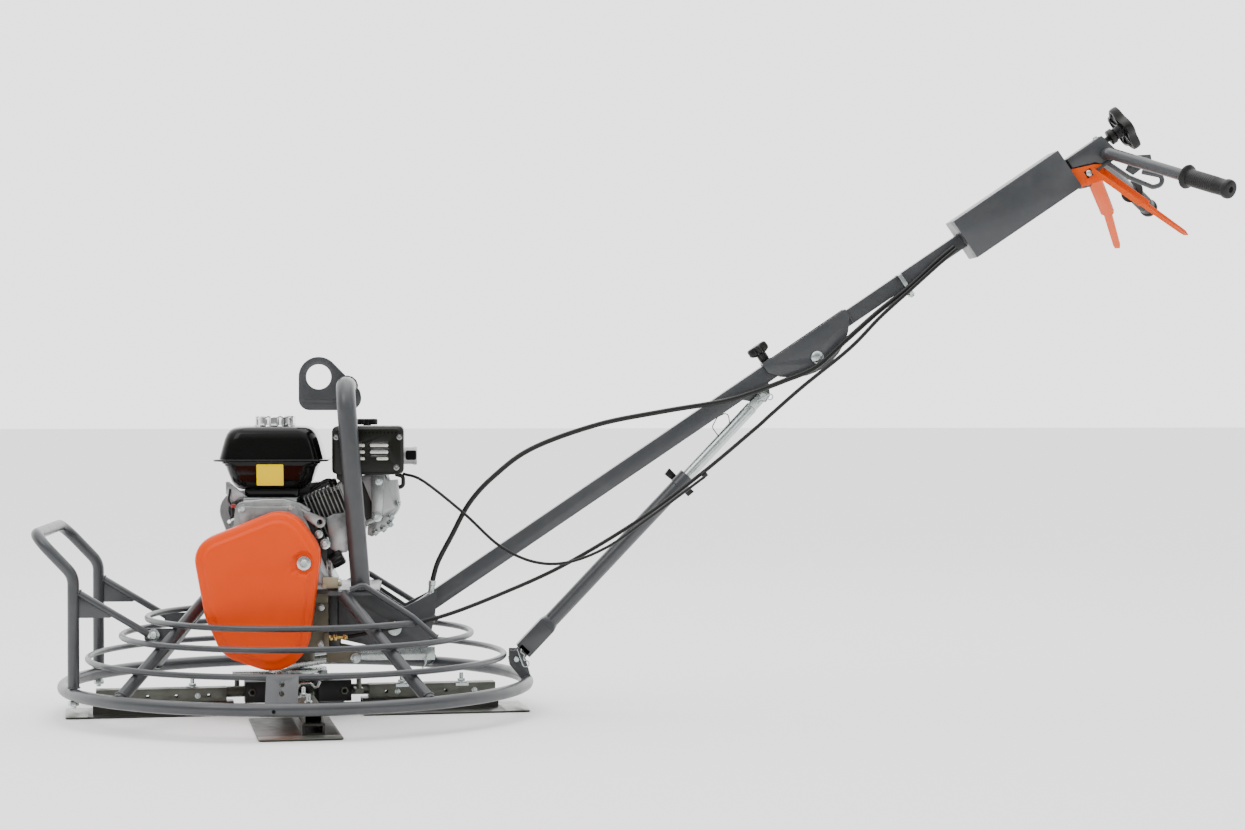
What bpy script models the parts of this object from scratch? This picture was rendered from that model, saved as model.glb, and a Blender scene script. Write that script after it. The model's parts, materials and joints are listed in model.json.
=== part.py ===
"""Walk-behind power trowel, 36 inch class, modelled as separate named pieces.

Metres, +Z up. The machine is laid out about its rotor: X runs from the rotor
towards the operator, Y across the machine, Z up from the floor that the blades
lie on. One empty, "machine", then moves everything so that the middle of the
whole machine's footprint is the world origin.
"""
import math

import bmesh
import bpy
from mathutils import Matrix, Vector

for old in list(bpy.data.objects):
    bpy.data.objects.remove(old)

# ---------------------------------------------------------------- main sizes
MACHINE_CENTRE_X = 0.6607   # middle of the footprint, measured from the rotor
GAP = 0.0004                # play between pieces that touch
PLATE = 0.008               # engine plate thickness

RING_RADIUS = 0.4605        # outer guard ring, centre of its tube
RING_TUBE = 0.0125
RING_HEIGHT = 0.058
ROD = 0.006                 # radius of the guard rods
LEG_TUBE = 0.0125

ROTOR_TURN = math.radians(7.3)   # how far the blade cross is turned at rest
ARM_HEIGHT = 0.042               # axis that each trowel arm tilts about
BLADE_INNER = 0.122
BLADE_TIP = 0.457
BLADE_TRAIL = 0.105              # blade width behind the arm
BLADE_LEAD = 0.052               # blade width ahead of the arm

DECK_TOP = 0.252                 # engine plate, top face
WORM_X = -0.055                  # worm shaft beside the rotor axis
WORM_Z = 0.1725
WORM_RADIUS = 0.014
CRANK_X = -0.045
CRANK_Z = 0.352

HANDLE_FOOT = Vector((0.195, 0.0, 0.170))      # pivot of the handle
HANDLE_ANGLE = math.radians(34.1)
LOWER_TUBE = 0.034
UPPER_TUBE = 0.030
FOLD_ALONG = 1.008                             # fold bolt, along the handle
FOLD_BELOW = 0.030                             # and below its centreline

STRUT_FOOT = Vector((0.438, 0.0, 0.104))
STRUT_TOP = Vector((0.937, 0.0, 0.632))

CYLINDER_TILT = math.radians(22)

# ---------------------------------------------------------------- scene frame
machine = bpy.data.objects.new("machine", None)
bpy.context.collection.objects.link(machine)
machine.location = (-MACHINE_CENTRE_X, 0, 0)

MATERIALS = {}


def material(name, colour, roughness, metallic):
    """A Principled material, made once."""
    made = bpy.data.materials.new(name)
    made.use_nodes = True
    shader = made.node_tree.nodes["Principled BSDF"]
    shader.inputs["Base Color"].default_value = (*colour, 1)
    shader.inputs["Roughness"].default_value = roughness
    shader.inputs["Metallic"].default_value = metallic
    made.diffuse_color = (*colour, 1)
    MATERIALS[name] = made


material("grey_paint", (0.095, 0.097, 0.102), 0.5, 0.0)
material("orange_paint", (0.87, 0.13, 0.02), 0.35, 0.0)
material("black_paint", (0.012, 0.012, 0.012), 0.25, 0.0)
material("black_cast", (0.02, 0.02, 0.02), 0.6, 0.0)
material("chrome", (0.8, 0.8, 0.8), 0.08, 1.0)
material("cast_aluminium", (0.55, 0.56, 0.57), 0.45, 1.0)
material("silver_paint", (0.55, 0.56, 0.57), 0.4, 0.3)
material("zinc", (0.6, 0.65, 0.64), 0.3, 1.0)
material("galvanised", (0.22, 0.23, 0.2), 0.45, 0.9)
material("blade_steel", (0.1, 0.1, 0.09), 0.4, 0.9)
material("dark_steel", (0.12, 0.12, 0.12), 0.35, 1.0)
material("bronze", (0.5, 0.3, 0.12), 0.35, 1.0)
material("gearbox_paint", (0.2, 0.19, 0.15), 0.5, 0.2)
material("rubber", (0.015, 0.015, 0.015), 0.7, 0.0)
material("black_plastic", (0.02, 0.02, 0.02), 0.45, 0.0)
material("cable_black", (0.012, 0.012, 0.012), 0.4, 0.0)


# ---------------------------------------------------------------- solid tools
def to_object(shape):
    """Turn a bmesh into a loose object with outward faces."""
    bmesh.ops.remove_doubles(shape, verts=shape.verts, dist=1e-6)
    bmesh.ops.recalc_face_normals(shape, faces=shape.faces)
    mesh = bpy.data.meshes.new("solid")
    shape.to_mesh(mesh)
    shape.free()
    loose = bpy.data.objects.new("solid", mesh)
    bpy.context.collection.objects.link(loose)
    return loose


def loft(loops):
    """A closed solid through loops of equal point counts, capped at both ends."""
    shape = bmesh.new()
    rings = [[shape.verts.new(point) for point in loop] for loop in loops]
    for first, second in zip(rings, rings[1:]):
        count = len(first)
        for index in range(count):
            follow = (index + 1) % count
            shape.faces.new((first[index], first[follow], second[follow], second[index]))
    shape.faces.new(rings[0])
    shape.faces.new(rings[-1])
    return to_object(shape)


def block(low, high):
    """A box between two corners."""
    x0, y0, z0 = low
    x1, y1, z1 = high
    floor = [(x0, y0), (x1, y0), (x1, y1), (x0, y1)]
    return loft([[(x, y, z0) for x, y in floor], [(x, y, z1) for x, y in floor]])


def frame_of(direction, up=(0, 0, 1)):
    """Two unit vectors across a direction; the second leans towards up."""
    along = Vector(direction).normalized()
    side = along.cross(Vector(up))
    if side.length < 1e-4:
        side = along.cross(Vector((0, 1, 0)))
    side.normalize()
    return side, side.cross(along)


def circle(centre, across, upward, radius, sides):
    """Points of a circle in the plane of two unit vectors."""
    step = 2 * math.pi / sides
    return [Vector(centre) + radius * (math.cos(step * k) * across + math.sin(step * k) * upward)
            for k in range(sides)]


def rod(start, end, radius, sides=12, end_radius=None):
    """A round bar, or a cone when end_radius differs."""
    across, upward = frame_of(Vector(end) - Vector(start))
    last = radius if end_radius is None else end_radius
    return loft([circle(start, across, upward, radius, sides),
                 circle(end, across, upward, last, sides)])


def bar(start, end, width, height, up=(0, 0, 1)):
    """A rectangular bar; width is across, height leans towards up."""
    across, upward = frame_of(Vector(end) - Vector(start), up)
    corners = [(-1, -1), (1, -1), (1, 1), (-1, 1)]

    def face(centre):
        return [Vector(centre) + a * width / 2 * across + b * height / 2 * upward for a, b in corners]

    return loft([face(start), face(end)])


def turned(profile, centre, axis, sides=24, spin=0.0):
    """A solid turned about an axis from (distance along, radius) pairs."""
    along = Vector(axis).normalized()
    across, upward = frame_of(along)
    turn = Matrix.Rotation(spin, 3, along)
    across, upward = turn @ across, turn @ upward
    return loft([circle(Vector(centre) + distance * along, across, upward, radius, sides)
                 for distance, radius in profile])


def rounded(corners, radius, steps=4):
    """A path through corners with each inner corner replaced by an arc."""
    corners = [Vector(corner) for corner in corners]
    path = [corners[0]]
    for before, corner, after in zip(corners, corners[1:], corners[2:]):
        back = (before - corner).normalized()
        ahead = (after - corner).normalized()
        half = back.angle(ahead) / 2
        reach = radius / math.tan(half)
        middle = corner + (back + ahead).normalized() * radius / math.sin(half)
        first = corner + back * reach - middle
        last = corner + ahead * reach - middle
        for step in range(steps + 1):
            spoke = first.normalized().slerp(last.normalized(), step / steps)
            path.append(middle + spoke * radius)
    path.append(corners[-1])
    return path


def pipe(path, radius, sides=10, closed=False):
    """A round tube swept along a path without twisting."""
    path = [Vector(point) for point in path]
    count = len(path)
    loops = []
    upward = None
    for index, point in enumerate(path):
        before = path[index - 1] if index or closed else point
        after = path[(index + 1) % count] if index < count - 1 or closed else point
        along = (after - before).normalized()
        if upward is None:
            across, upward = frame_of(along)
        across = along.cross(upward).normalized()
        upward = across.cross(along).normalized()
        stretch = 1.0
        if point not in (before, after):
            bend = (point - before).angle(after - point) / 2
            stretch = 1 / math.cos(bend)
        loops.append(circle(point, across, upward, radius * math.sqrt(stretch), sides))
    if not closed:
        return loft(loops)
    shape = bmesh.new()
    rings = [[shape.verts.new(point) for point in loop] for loop in loops]
    for first, second in zip(rings, rings[1:] + rings[:1]):
        for index in range(sides):
            follow = (index + 1) % sides
            shape.faces.new((first[index], first[follow], second[follow], second[index]))
    return to_object(shape)


def hoop(radius, height, tube, steps=40, sides=6):
    """A closed round ring about the rotor axis."""
    angles = [2 * math.pi * k / steps for k in range(steps)]
    path = [(radius * math.cos(a), radius * math.sin(a), height) for a in angles]
    return pipe(path, tube, sides, closed=True)


def slab(outline, near, far):
    """An upright plate: an outline of (x, z) points between two y values."""
    return loft([[(x, near, z) for x, z in outline], [(x, far, z) for x, z in outline]])


def convex_outline(circles, inset=0.0, step_degrees=15):
    """The outline that a string pulled round some circles (x, z, radius) takes."""
    points = []
    for x, z, radius in circles:
        for k in range(0, 360, step_degrees):
            angle = math.radians(k)
            reach = radius - inset
            points.append((x + reach * math.cos(angle), z + reach * math.sin(angle)))
    points.sort()

    def half(ordered):
        chain = []
        for point in ordered:
            while len(chain) > 1 and turn_of(chain[-2], chain[-1], point) <= 1e-9:
                chain.pop()
            chain.append(point)
        return chain[:-1]

    return half(points) + half(points[::-1])


def turn_of(first, second, third):
    """Positive where three (x, z) points turn left."""
    return ((second[0] - first[0]) * (third[1] - first[1])
            - (second[1] - first[1]) * (third[0] - first[0]))


def rounded_rectangle(low, high, radius, steps=3):
    """Corner arcs of a rectangle between two (a, b) corners, as (a, b) points."""
    points = []
    centres = [(high[0] - radius, high[1] - radius, 0), (low[0] + radius, high[1] - radius, 90),
               (low[0] + radius, low[1] + radius, 180), (high[0] - radius, low[1] + radius, 270)]
    for a, b, start in centres:
        for k in range(steps + 1):
            angle = math.radians(start + 90 * k / steps)
            points.append((a + radius * math.cos(angle), b + radius * math.sin(angle)))
    return points


def combine(base, others, operation):
    """Apply one Boolean to base for each other solid, and drop the others."""
    for other in others:
        step = base.modifiers.new("combine", "BOOLEAN")
        step.operation = operation
        step.solver = "EXACT"
        step.object = other
        bpy.context.view_layer.update()
        evaluated = base.evaluated_get(bpy.context.evaluated_depsgraph_get())
        result = bpy.data.meshes.new_from_object(evaluated)
        base.modifiers.clear()
        base.data = result
        bpy.data.objects.remove(other)
    return base


def weld(base, *others):
    """Join overlapping solids into one."""
    return combine(base, others, "UNION")


def cut(base, *tools):
    """Take the tools' shapes out of base."""
    return combine(base, tools, "DIFFERENCE")


def piece(name, solid, look, pivot=(0, 0, 0), sharp_degrees=35):
    """Name a finished solid, put its origin on its pivot and give it its material."""
    mesh = solid.data
    mesh.transform(Matrix.Translation(-Vector(pivot)))
    mesh.materials.clear()
    mesh.materials.append(MATERIALS[look])
    mesh.polygons.foreach_set("material_index", [0] * len(mesh.polygons))
    mesh.shade_smooth()
    mesh.set_sharp_from_angle(angle=math.radians(sharp_degrees))
    solid.name = name
    mesh.name = name
    solid.parent = machine
    solid.location = Vector(pivot)
    return solid


# ---------------------------------------------------------------- guard and frame
LEG_TOPS = {"left": Vector((-0.165, 0.090, 0.245)), "right": Vector((0.098, 0.152, 0.246))}
LEG_AZIMUTHS = {"left": math.radians(134), "right": math.radians(54)}
GUARD_RINGS = {"lower": (0.4135, 0.113), "middle": (0.3475, 0.157)}
TOP_RING_RADIUS = 0.297
TOP_RING_HEIGHT = 0.192


def leg_line(side, hand):
    """Top and foot of one guard leg; hand is -1 near the belt cover, +1 beyond."""
    top = LEG_TOPS[side].copy()
    top.y *= hand
    azimuth = LEG_AZIMUTHS[side] * hand
    foot = Vector((RING_RADIUS * math.cos(azimuth), RING_RADIUS * math.sin(azimuth), RING_HEIGHT))
    return top, foot + (top - foot).normalized() * RING_TUBE * 0.55


def make_guard_rings():
    """The outer ring with its two brackets, and the two closed guard rods."""
    ring = hoop(RING_RADIUS, RING_HEIGHT, RING_TUBE, steps=48, sides=8)
    lower_radius, lower_height = GUARD_RINGS["lower"]
    front = bar((-0.005, -RING_RADIUS, RING_HEIGHT + 0.008),
                (-0.005, -lower_radius - 0.0085, lower_height + 0.003), 0.060, 0.004, up=(0, -1, 0))
    ears = []
    for hand in (-1, 1):
        ears.append(slab([(0.452, 0.060), (0.468, 0.066), (0.452, 0.122), (0.424, 0.122),
                          (0.424, 0.094)], hand * 0.0200, hand * 0.0245))
    pin = rod((STRUT_FOOT.x, -0.030, STRUT_FOOT.z), (STRUT_FOOT.x, 0.030, STRUT_FOOT.z), 0.006)
    ring = weld(ring, front, *ears, pin)
    holes = [rod((-0.005, -0.5, z), (-0.005, -0.38, z), 0.005) for z in (0.086, 0.102)]
    piece("guard_outer_ring", cut(ring, *holes), "grey_paint")
    for name, (radius, height) in GUARD_RINGS.items():
        piece("guard_ring_" + name, hoop(radius, height, ROD), "grey_paint")


def make_top_guard():
    """The open top rod and the two stay rods that it is welded to."""
    ring_height = GUARD_RINGS["middle"][1]
    stays = []
    for hand in (-1, 1):
        ring_point = Vector((0.2866, hand * 0.1965, ring_height))
        shoulder = Vector((0.233, hand * 0.184, 0.203))
        end = ring_point + (shoulder - ring_point).normalized() * (2 * ROD + GAP)
        corners = [(0.112, hand * 0.1705, 0.2560), (0.135, hand * 0.172, 0.2660), shoulder, end]
        stays.append(pipe(rounded(corners, 0.012, 2), ROD, 6))
    reach = math.radians(38.2)
    steps = 32
    sweep = [reach + (2 * math.pi - 2 * reach) * k / steps for k in range(steps + 1)]
    arc = pipe([(TOP_RING_RADIUS * math.cos(a), TOP_RING_RADIUS * math.sin(a), TOP_RING_HEIGHT)
                for a in sweep], ROD, 6)
    piece("guard_ring_top", weld(arc, *stays), "grey_paint")


def make_base_frame():
    """Engine plate, handle cheeks and four tube legs, welded together."""
    deck = slab([(-0.178, DECK_TOP - PLATE), (0.165, DECK_TOP - PLATE), (0.165, DECK_TOP),
                 (-0.178, DECK_TOP)], -0.112, 0.125)
    cross = block((0.068, -0.164, DECK_TOP - PLATE + 0.0005), (0.160, 0.164, DECK_TOP - 0.0005))
    cheek_outline = [(0.082, 0.150), (0.160, 0.132), (0.262, 0.132), (0.276, 0.200), (0.279, 0.244),
                     (0.215, 0.212), (0.165, 0.246), (0.082, 0.246)]
    cheeks = [slab(cheek_outline, hand * 0.0460, hand * 0.0510) for hand in (-1, 1)]
    legs = []
    for side in LEG_TOPS:
        for hand in (-1, 1):
            top, foot = leg_line(side, hand)
            legs.append(rod(top, foot, LEG_TUBE, 12))
    tabs = []
    for hand in (-1, 1):
        tabs.append(slab([(-0.280, 0.160), (-0.222, 0.160), (-0.214, 0.170), (-0.222, 0.184),
                          (-0.280, 0.184)], hand * 0.1765, hand * 0.1826))
    frame = weld(deck, cross, *cheeks, *legs, *tabs)
    holes = [rod((HANDLE_FOOT.x, -0.08, HANDLE_FOOT.z), (HANDLE_FOOT.x, 0.08, HANDLE_FOOT.z), 0.0083)]
    holes.append(rod((0, 0, 0.23), (0, 0, 0.27), 0.020))
    ring_seat = hoop(RING_RADIUS, RING_HEIGHT, RING_TUBE + GAP, steps=48, sides=8)
    piece("base_frame", cut(frame, *holes, ring_seat), "grey_paint")


def make_carry_handle():
    """Front carry handle: one bent tube with two welded braces."""
    corners = []
    half_width = 0.190
    for hand in (-1, 1):
        run = [(-0.4195, hand * half_width, RING_HEIGHT + RING_TUBE + 2 * GAP),
               (-0.4195, hand * half_width, 0.288), (-0.494, hand * half_width, 0.3665)]
        corners += run if hand < 0 else run[::-1]
    handle = pipe(rounded(corners, 0.042, 4), 0.0115, 10)
    braces = []
    for hand in (-1, 1):
        y = hand * half_width
        braces.append(rod((-0.4195, y, 0.260), (-0.276, y, 0.1735), 0.0070, 8))
        braces.append(slab([(-0.284, 0.161), (-0.262, 0.161), (-0.262, 0.181), (-0.284, 0.181)],
                           hand * 0.1870, hand * 0.1925))
        braces.append(slab([(-0.412, 0.252), (-0.412, 0.206), (-0.350, 0.206), (-0.336, 0.214)],
                           y - 0.002, y + 0.002))
    piece("carry_handle", weld(handle, *braces), "grey_paint")


def make_lifting_frame():
    """The single lifting post over the engine, and the eye plate at its top."""
    post = pipe(rounded([(0.131, -0.134, DECK_TOP + 0.0020), (0.100, -0.134, 0.652),
                         (0.100, -0.001, 0.652)], 0.050, 5), 0.019, 12)
    eye_centre = (0.043, 0.671)
    outline = convex_outline([(eye_centre[0], eye_centre[1], 0.040), (0.106, 0.634, 0.021),
                              (0.025, 0.626, 0.022), (0.104, 0.628, 0.024)])
    eye = slab(outline, -0.0055, 0.0045)
    lip = bar((0.012, -0.006, 0.622), (0.112, -0.006, 0.622), 0.010, 0.006, up=(0, 0, 1))
    frame = weld(post, eye, lip)
    hole = rod((eye_centre[0], -0.05, eye_centre[1]), (eye_centre[0], 0.05, eye_centre[1]), 0.025, 28)
    piece("lifting_frame", cut(frame, hole), "grey_paint")


# ---------------------------------------------------------------- gearbox and belt drive
def make_gearbox():
    """Worm gearbox under the engine plate: housing, lid, worm, wheel and output shaft."""
    body = weld(block((-0.084, -0.070, 0.128), (0.064, 0.070, 0.2220)),
                rod((0, 0, 0.101), (0, 0, 0.130), 0.034, 24),
                *[slab([(0.060, 0.135), (0.060, 0.104), (0.128, 0.104), (0.128, 0.122)],
                       hand * 0.0560, hand * 0.0610) for hand in (-1, 1)])
    hollow = [rod((0, 0, 0.146), (0, 0, 0.23), 0.046, 28),
              block((-0.074, -0.046, 0.152), (-0.036, 0.046, 0.23)),
              rod((0, 0, 0.09), (0, 0, 0.15), 0.0130, 20),
              rod((WORM_X, -0.09, WORM_Z), (WORM_X, -0.04, WORM_Z), 0.0104, 16),
              rod((0.118, -0.08, 0.112), (0.118, 0.08, 0.112), 0.0054, 12)]
    piece("gearbox_housing", cut(body, *hollow), "gearbox_paint")
    piece("gearbox_lid", block((-0.084, -0.070, 0.2220 + GAP), (0.064, 0.070, DECK_TOP - PLATE - GAP)),
          "gearbox_paint")
    thread = [(-0.185, 0.010), (-0.026, 0.010)]
    for turn in range(4):
        start = -0.024 + 0.012 * turn
        thread += [(start + 0.001, 0.0105), (start + 0.004, WORM_RADIUS), (start + 0.008, WORM_RADIUS),
                   (start + 0.011, 0.0105)]
    thread += [(0.026, 0.010), (0.044, 0.010)]
    piece("worm_shaft", turned(thread, (WORM_X, 0, WORM_Z), (0, 1, 0), 12), "dark_steel",
          (WORM_X, 0, WORM_Z))
    piece("worm_wheel", worm_wheel(), "bronze")
    piece("output_shaft", rod((0, 0, 0.030), (0, 0, 0.2180), 0.0125, 20), "dark_steel")


def worm_wheel():
    """Bronze wheel with twenty teeth that clear the worm, bored for its shaft."""
    teeth = 20
    outer = abs(WORM_X) - WORM_RADIUS - 0.0006
    outline = []
    for tooth in range(teeth):
        for part, radius in ((-0.32, outer - 0.004), (-0.16, outer), (0.16, outer), (0.32, outer - 0.004)):
            angle = 2 * math.pi * (tooth + part) / teeth
            outline.append((radius * math.cos(angle), radius * math.sin(angle)))
    wheel = loft([[(x, y, z) for x, y in outline] for z in (0.160, 0.185)])
    return cut(wheel, rod((0, 0, 0.15), (0, 0, 0.20), 0.0125 + GAP, 20))


BELT_Y = -0.164
DRIVEN_RADIUS = 0.054
DRIVER_RADIUS = 0.036


def pulley_profile(radius):
    """Half-section of a V pulley about its own middle plane."""
    return [(-0.013, 0.012), (-0.013, radius), (-0.009, radius), (-0.004, radius - 0.011),
            (0.004, radius - 0.011), (0.009, radius), (0.013, radius), (0.013, 0.012)]


def make_belt_drive():
    """Driven pulley on the worm, clutch pulley on the crank, and the V-belt."""
    driven = turned(pulley_profile(DRIVEN_RADIUS), (WORM_X, BELT_Y, WORM_Z), (0, 1, 0), 24)
    bore = rod((WORM_X, BELT_Y - 0.03, WORM_Z), (WORM_X, BELT_Y + 0.03, WORM_Z), 0.010 + GAP, 12)
    piece("driven_pulley", cut(driven, bore), "cast_aluminium", (WORM_X, BELT_Y, WORM_Z))
    clutch = turned([(-0.036, 0.020), (-0.033, 0.039), (-0.0165, 0.041), (-0.0155, 0.024)]
                    + pulley_profile(DRIVER_RADIUS), (CRANK_X, BELT_Y, CRANK_Z), (0, 1, 0), 24)
    bore = rod((CRANK_X, BELT_Y - 0.05, CRANK_Z), (CRANK_X, BELT_Y + 0.03, CRANK_Z), 0.010 + GAP, 12)
    piece("clutch_pulley", cut(clutch, bore), "dark_steel", (CRANK_X, BELT_Y, CRANK_Z))
    depth = 0.0100
    outer = [(WORM_X, WORM_Z, DRIVEN_RADIUS), (CRANK_X, CRANK_Z, DRIVER_RADIUS)]
    top = convex_outline(outer, 0.001, 15)
    root = convex_outline(outer, depth, 15)
    belt = loft([[(x, BELT_Y - 0.0036, z) for x, z in root], [(x, BELT_Y - 0.0078, z) for x, z in top],
                 [(x, BELT_Y + 0.0078, z) for x, z in top], [(x, BELT_Y + 0.0036, z) for x, z in root]])
    middle = slab(convex_outline(outer, depth + 0.0002, 15), BELT_Y - 0.02, BELT_Y + 0.02)
    piece("v_belt", cut(belt, middle), "rubber")


COVER_BACK = -0.128
COVER_FRONT = -0.205
COVER_CIRCLES = [(-0.027, 0.3485, 0.0600), (-0.010, 0.3180, 0.0635), (-0.1375, 0.3160, 0.0495),
                 (-0.109, 0.2250, 0.0615), (-0.090, 0.1780, 0.0600), (-0.040, 0.1760, 0.0745)]


def make_belt_cover():
    """Orange moulded cover over the belt, open at the back, with a bolt recess."""
    def shell(inset, back, front):
        loops = []
        for depth, shrink in ((back, 0.0), (front + 0.014, 0.0), (front + 0.004, 0.005),
                              (front, 0.012)):
            outline = convex_outline(COVER_CIRCLES, inset)
            centre_x = sum(x for x, z in outline) / len(outline)
            centre_z = sum(z for x, z in outline) / len(outline)
            loop = []
            for x, z in outline:
                away = Vector((x - centre_x, 0, z - centre_z))
                away *= 1 - shrink / away.length
                loop.append((centre_x + away.x, depth, centre_z + away.z))
            loops.append(loop)
        return loft(loops)

    outside = shell(0.0, COVER_BACK, COVER_FRONT)
    inside = shell(0.0025, COVER_BACK + 0.02, COVER_FRONT + 0.0025)
    cover = cut(outside, inside)
    bolt_at = (0.023, 0.310)
    cup = turned([(0, 0.0195), (0.014, 0.0180), (0.014, 0.0150), (0.0025, 0.0150)],
                 (bolt_at[0], COVER_FRONT + 0.0006, bolt_at[1]), (0, 1, 0), 20)
    recess = turned([(-0.01, 0.0165), (0.0110, 0.0150)],
                    (bolt_at[0], COVER_FRONT + 0.0006, bolt_at[1]), (0, 1, 0), 20)
    cover = cut(weld(cover, cup), recess)
    hole = rod((bolt_at[0], COVER_FRONT - 0.01, bolt_at[1]), (bolt_at[0], -0.15, bolt_at[1]), 0.0045, 12)
    piece("belt_cover", cut(cover, hole), "orange_paint")


# ---------------------------------------------------------------- engine
CRANKCASE_CIRCLES = [(CRANK_X, CRANK_Z, 0.070), (-0.112, 0.2634, 0.011), (0.070, 0.2634, 0.011),
                     (-0.075, 0.395, 0.035)]
ENGINE_NEAR = -0.100
ENGINE_FAR = 0.060


def along_cylinder(distance, across, side):
    """A point from the crank: distance along the cylinder, across it, and to the side."""
    cosine, sine = math.cos(CYLINDER_TILT), math.sin(CYLINDER_TILT)
    return Vector((CRANK_X + distance * cosine - across * sine, side,
                   CRANK_Z + distance * sine + across * cosine))


def cylinder_block(start, end, half, near, far):
    """A rectangular block square to the cylinder."""
    corners = [(-half, near), (half, near), (half, far), (-half, far)]
    return loft([[along_cylinder(s, a, y) for a, y in corners] for s in (start, end)])


def make_crankcase():
    """Hollow crankcase with a foot flange and an oil filler neck."""
    floor = DECK_TOP + GAP
    body = slab(convex_outline(CRANKCASE_CIRCLES), ENGINE_NEAR, ENGINE_FAR)
    foot = block((-0.128, ENGINE_NEAR - 0.010, floor), (0.086, ENGINE_FAR - 0.012, floor + 0.010))
    boss = rod((CRANK_X, ENGINE_NEAR - 0.014, CRANK_Z), (CRANK_X, ENGINE_NEAR + 0.01, CRANK_Z), 0.030, 24)
    neck_start = Vector((0.030, -0.084, 0.280))
    neck = rod(neck_start, neck_start + Vector((0.040, 0, 0.023)), 0.0125)
    case = weld(body, foot, boss, neck)
    hollow = slab(convex_outline(CRANKCASE_CIRCLES[:3], 0.007), ENGINE_NEAR + 0.008, ENGINE_FAR - 0.007)
    bores = rod((CRANK_X, ENGINE_NEAR - 0.03, CRANK_Z), (CRANK_X, ENGINE_FAR + 0.02, CRANK_Z),
                0.0125 + GAP, 16)
    piece("crankcase", cut(case, hollow, bores), "cast_aluminium")


def make_crankshaft():
    """Crankshaft with its two webs, crank pin and the flywheel on its far end."""
    shaft = turned([(-0.192, 0.010), (-0.142, 0.010), (-0.141, 0.0125), (-0.052, 0.0125),
                    (-0.051, 0.034), (-0.041, 0.034), (-0.040, 0.014)],
                   (CRANK_X, 0, CRANK_Z), (0, 1, 0), 16)
    pin = rod((CRANK_X + 0.020, -0.046, CRANK_Z), (CRANK_X + 0.020, -0.006, CRANK_Z), 0.011)
    tail = turned([(-0.012, 0.014), (-0.011, 0.034), (-0.001, 0.034), (0.000, 0.0125), (0.0700, 0.0125),
                   (0.0705, 0.068), (0.090, 0.068), (0.092, 0.020), (0.116, 0.018)],
                  (CRANK_X, 0, CRANK_Z), (0, 1, 0), 20)
    piece("crankshaft", weld(shaft, pin, tail), "dark_steel", (CRANK_X, 0, CRANK_Z))


def make_cylinder():
    """Finned cylinder and head, and the rocker cover on its end."""
    near, far = -0.060, 0.040
    barrel = cylinder_block(0.0790, 0.2050, 0.036, -0.046, 0.028)
    fins = [cylinder_block(0.0900 + 0.0085 * k, 0.0930 + 0.0085 * k, 0.050, near, far) for k in range(8)]
    head = cylinder_block(0.1600, 0.1700, 0.048, near + 0.002, far - 0.002)
    head_fins = [cylinder_block(0.1760 + 0.009 * k, 0.1790 + 0.009 * k, 0.050, near, far) for k in range(3)]
    seat = cylinder_block(0.2010, 0.2060, 0.044, near + 0.006, far - 0.006)
    piece("cylinder_block", weld(barrel, *fins, head, *head_fins, seat), "cast_aluminium")
    cover = []
    for distance, shrink in ((0.2064, 0.0), (0.214, 0.0), (0.246, 0.004), (0.256, 0.014)):
        outline = rounded_rectangle((-0.046 + shrink, near + 0.004 + shrink),
                                    (0.046 - shrink, far - 0.004 - shrink), 0.012 + shrink / 3)
        cover.append([along_cylinder(distance, across, side) for across, side in outline])
    piece("rocker_cover", loft(cover), "silver_paint")


def make_starter():
    """Fan shroud, recoil housing and pull grip on the engine's far side."""
    circles = [(CRANK_X, CRANK_Z, 0.094), (-0.120, 0.400, 0.040), (0.058, 0.430, 0.030)]
    outside = slab(convex_outline(circles), ENGINE_FAR + GAP, 0.1240)
    inside = slab(convex_outline(circles, 0.003), ENGINE_FAR - 0.01, 0.1212)
    mouth = rod((CRANK_X, 0.11, CRANK_Z), (CRANK_X, 0.13, CRANK_Z), 0.060, 24)
    back = slab(convex_outline(circles), 0.0610, 0.0640)
    ring_hole = slab(convex_outline(circles, 0.018), 0.050, 0.07)
    shroud = weld(cut(outside, inside, mouth), cut(back, ring_hole))
    piece("fan_shroud", shroud, "silver_paint")
    dish = turned([(0, 0.078), (0.010, 0.078), (0.030, 0.068), (0.038, 0.050), (0.040, 0.030)],
                  (CRANK_X, 0.1244, CRANK_Z), (0, 1, 0), 20)
    inside = turned([(-0.010, 0.075), (0.009, 0.075), (0.0275, 0.065), (0.0355, 0.050)],
                    (CRANK_X, 0.1244, CRANK_Z), (0, 1, 0), 20)
    piece("recoil_starter", cut(dish, inside), "silver_paint")
    pull = Vector((-0.72, 0.10, 0.68)).normalized()
    root = Vector((CRANK_X, 0.146, CRANK_Z)) + 0.081 * Vector((-0.72, 0, 0.69)).normalized()
    grip = weld(rod(root, root + 0.014 * pull, 0.009, 12, 0.006),
                bar(root + 0.010 * pull, root + 0.024 * pull, 0.034, 0.014))
    piece("recoil_grip", grip, "black_plastic", tuple(root))


TANK_LEVELS = [(0.4515, -0.120, 0.023, 0.066), (0.458, -0.126, 0.031, 0.076), (0.486, -0.138, 0.046, 0.086),
               (0.5005, -0.148, 0.055, 0.090), (0.5010, -0.160, 0.067, 0.098),
               (0.5055, -0.160, 0.067, 0.098), (0.5060, -0.150, 0.057, 0.090),
               (0.526, -0.145, 0.053, 0.087), (0.548, -0.139, 0.046, 0.080), (0.560, -0.131, 0.038, 0.072),
               (0.5665, -0.115, 0.022, 0.056)]
TANK_Y = -0.018


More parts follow.
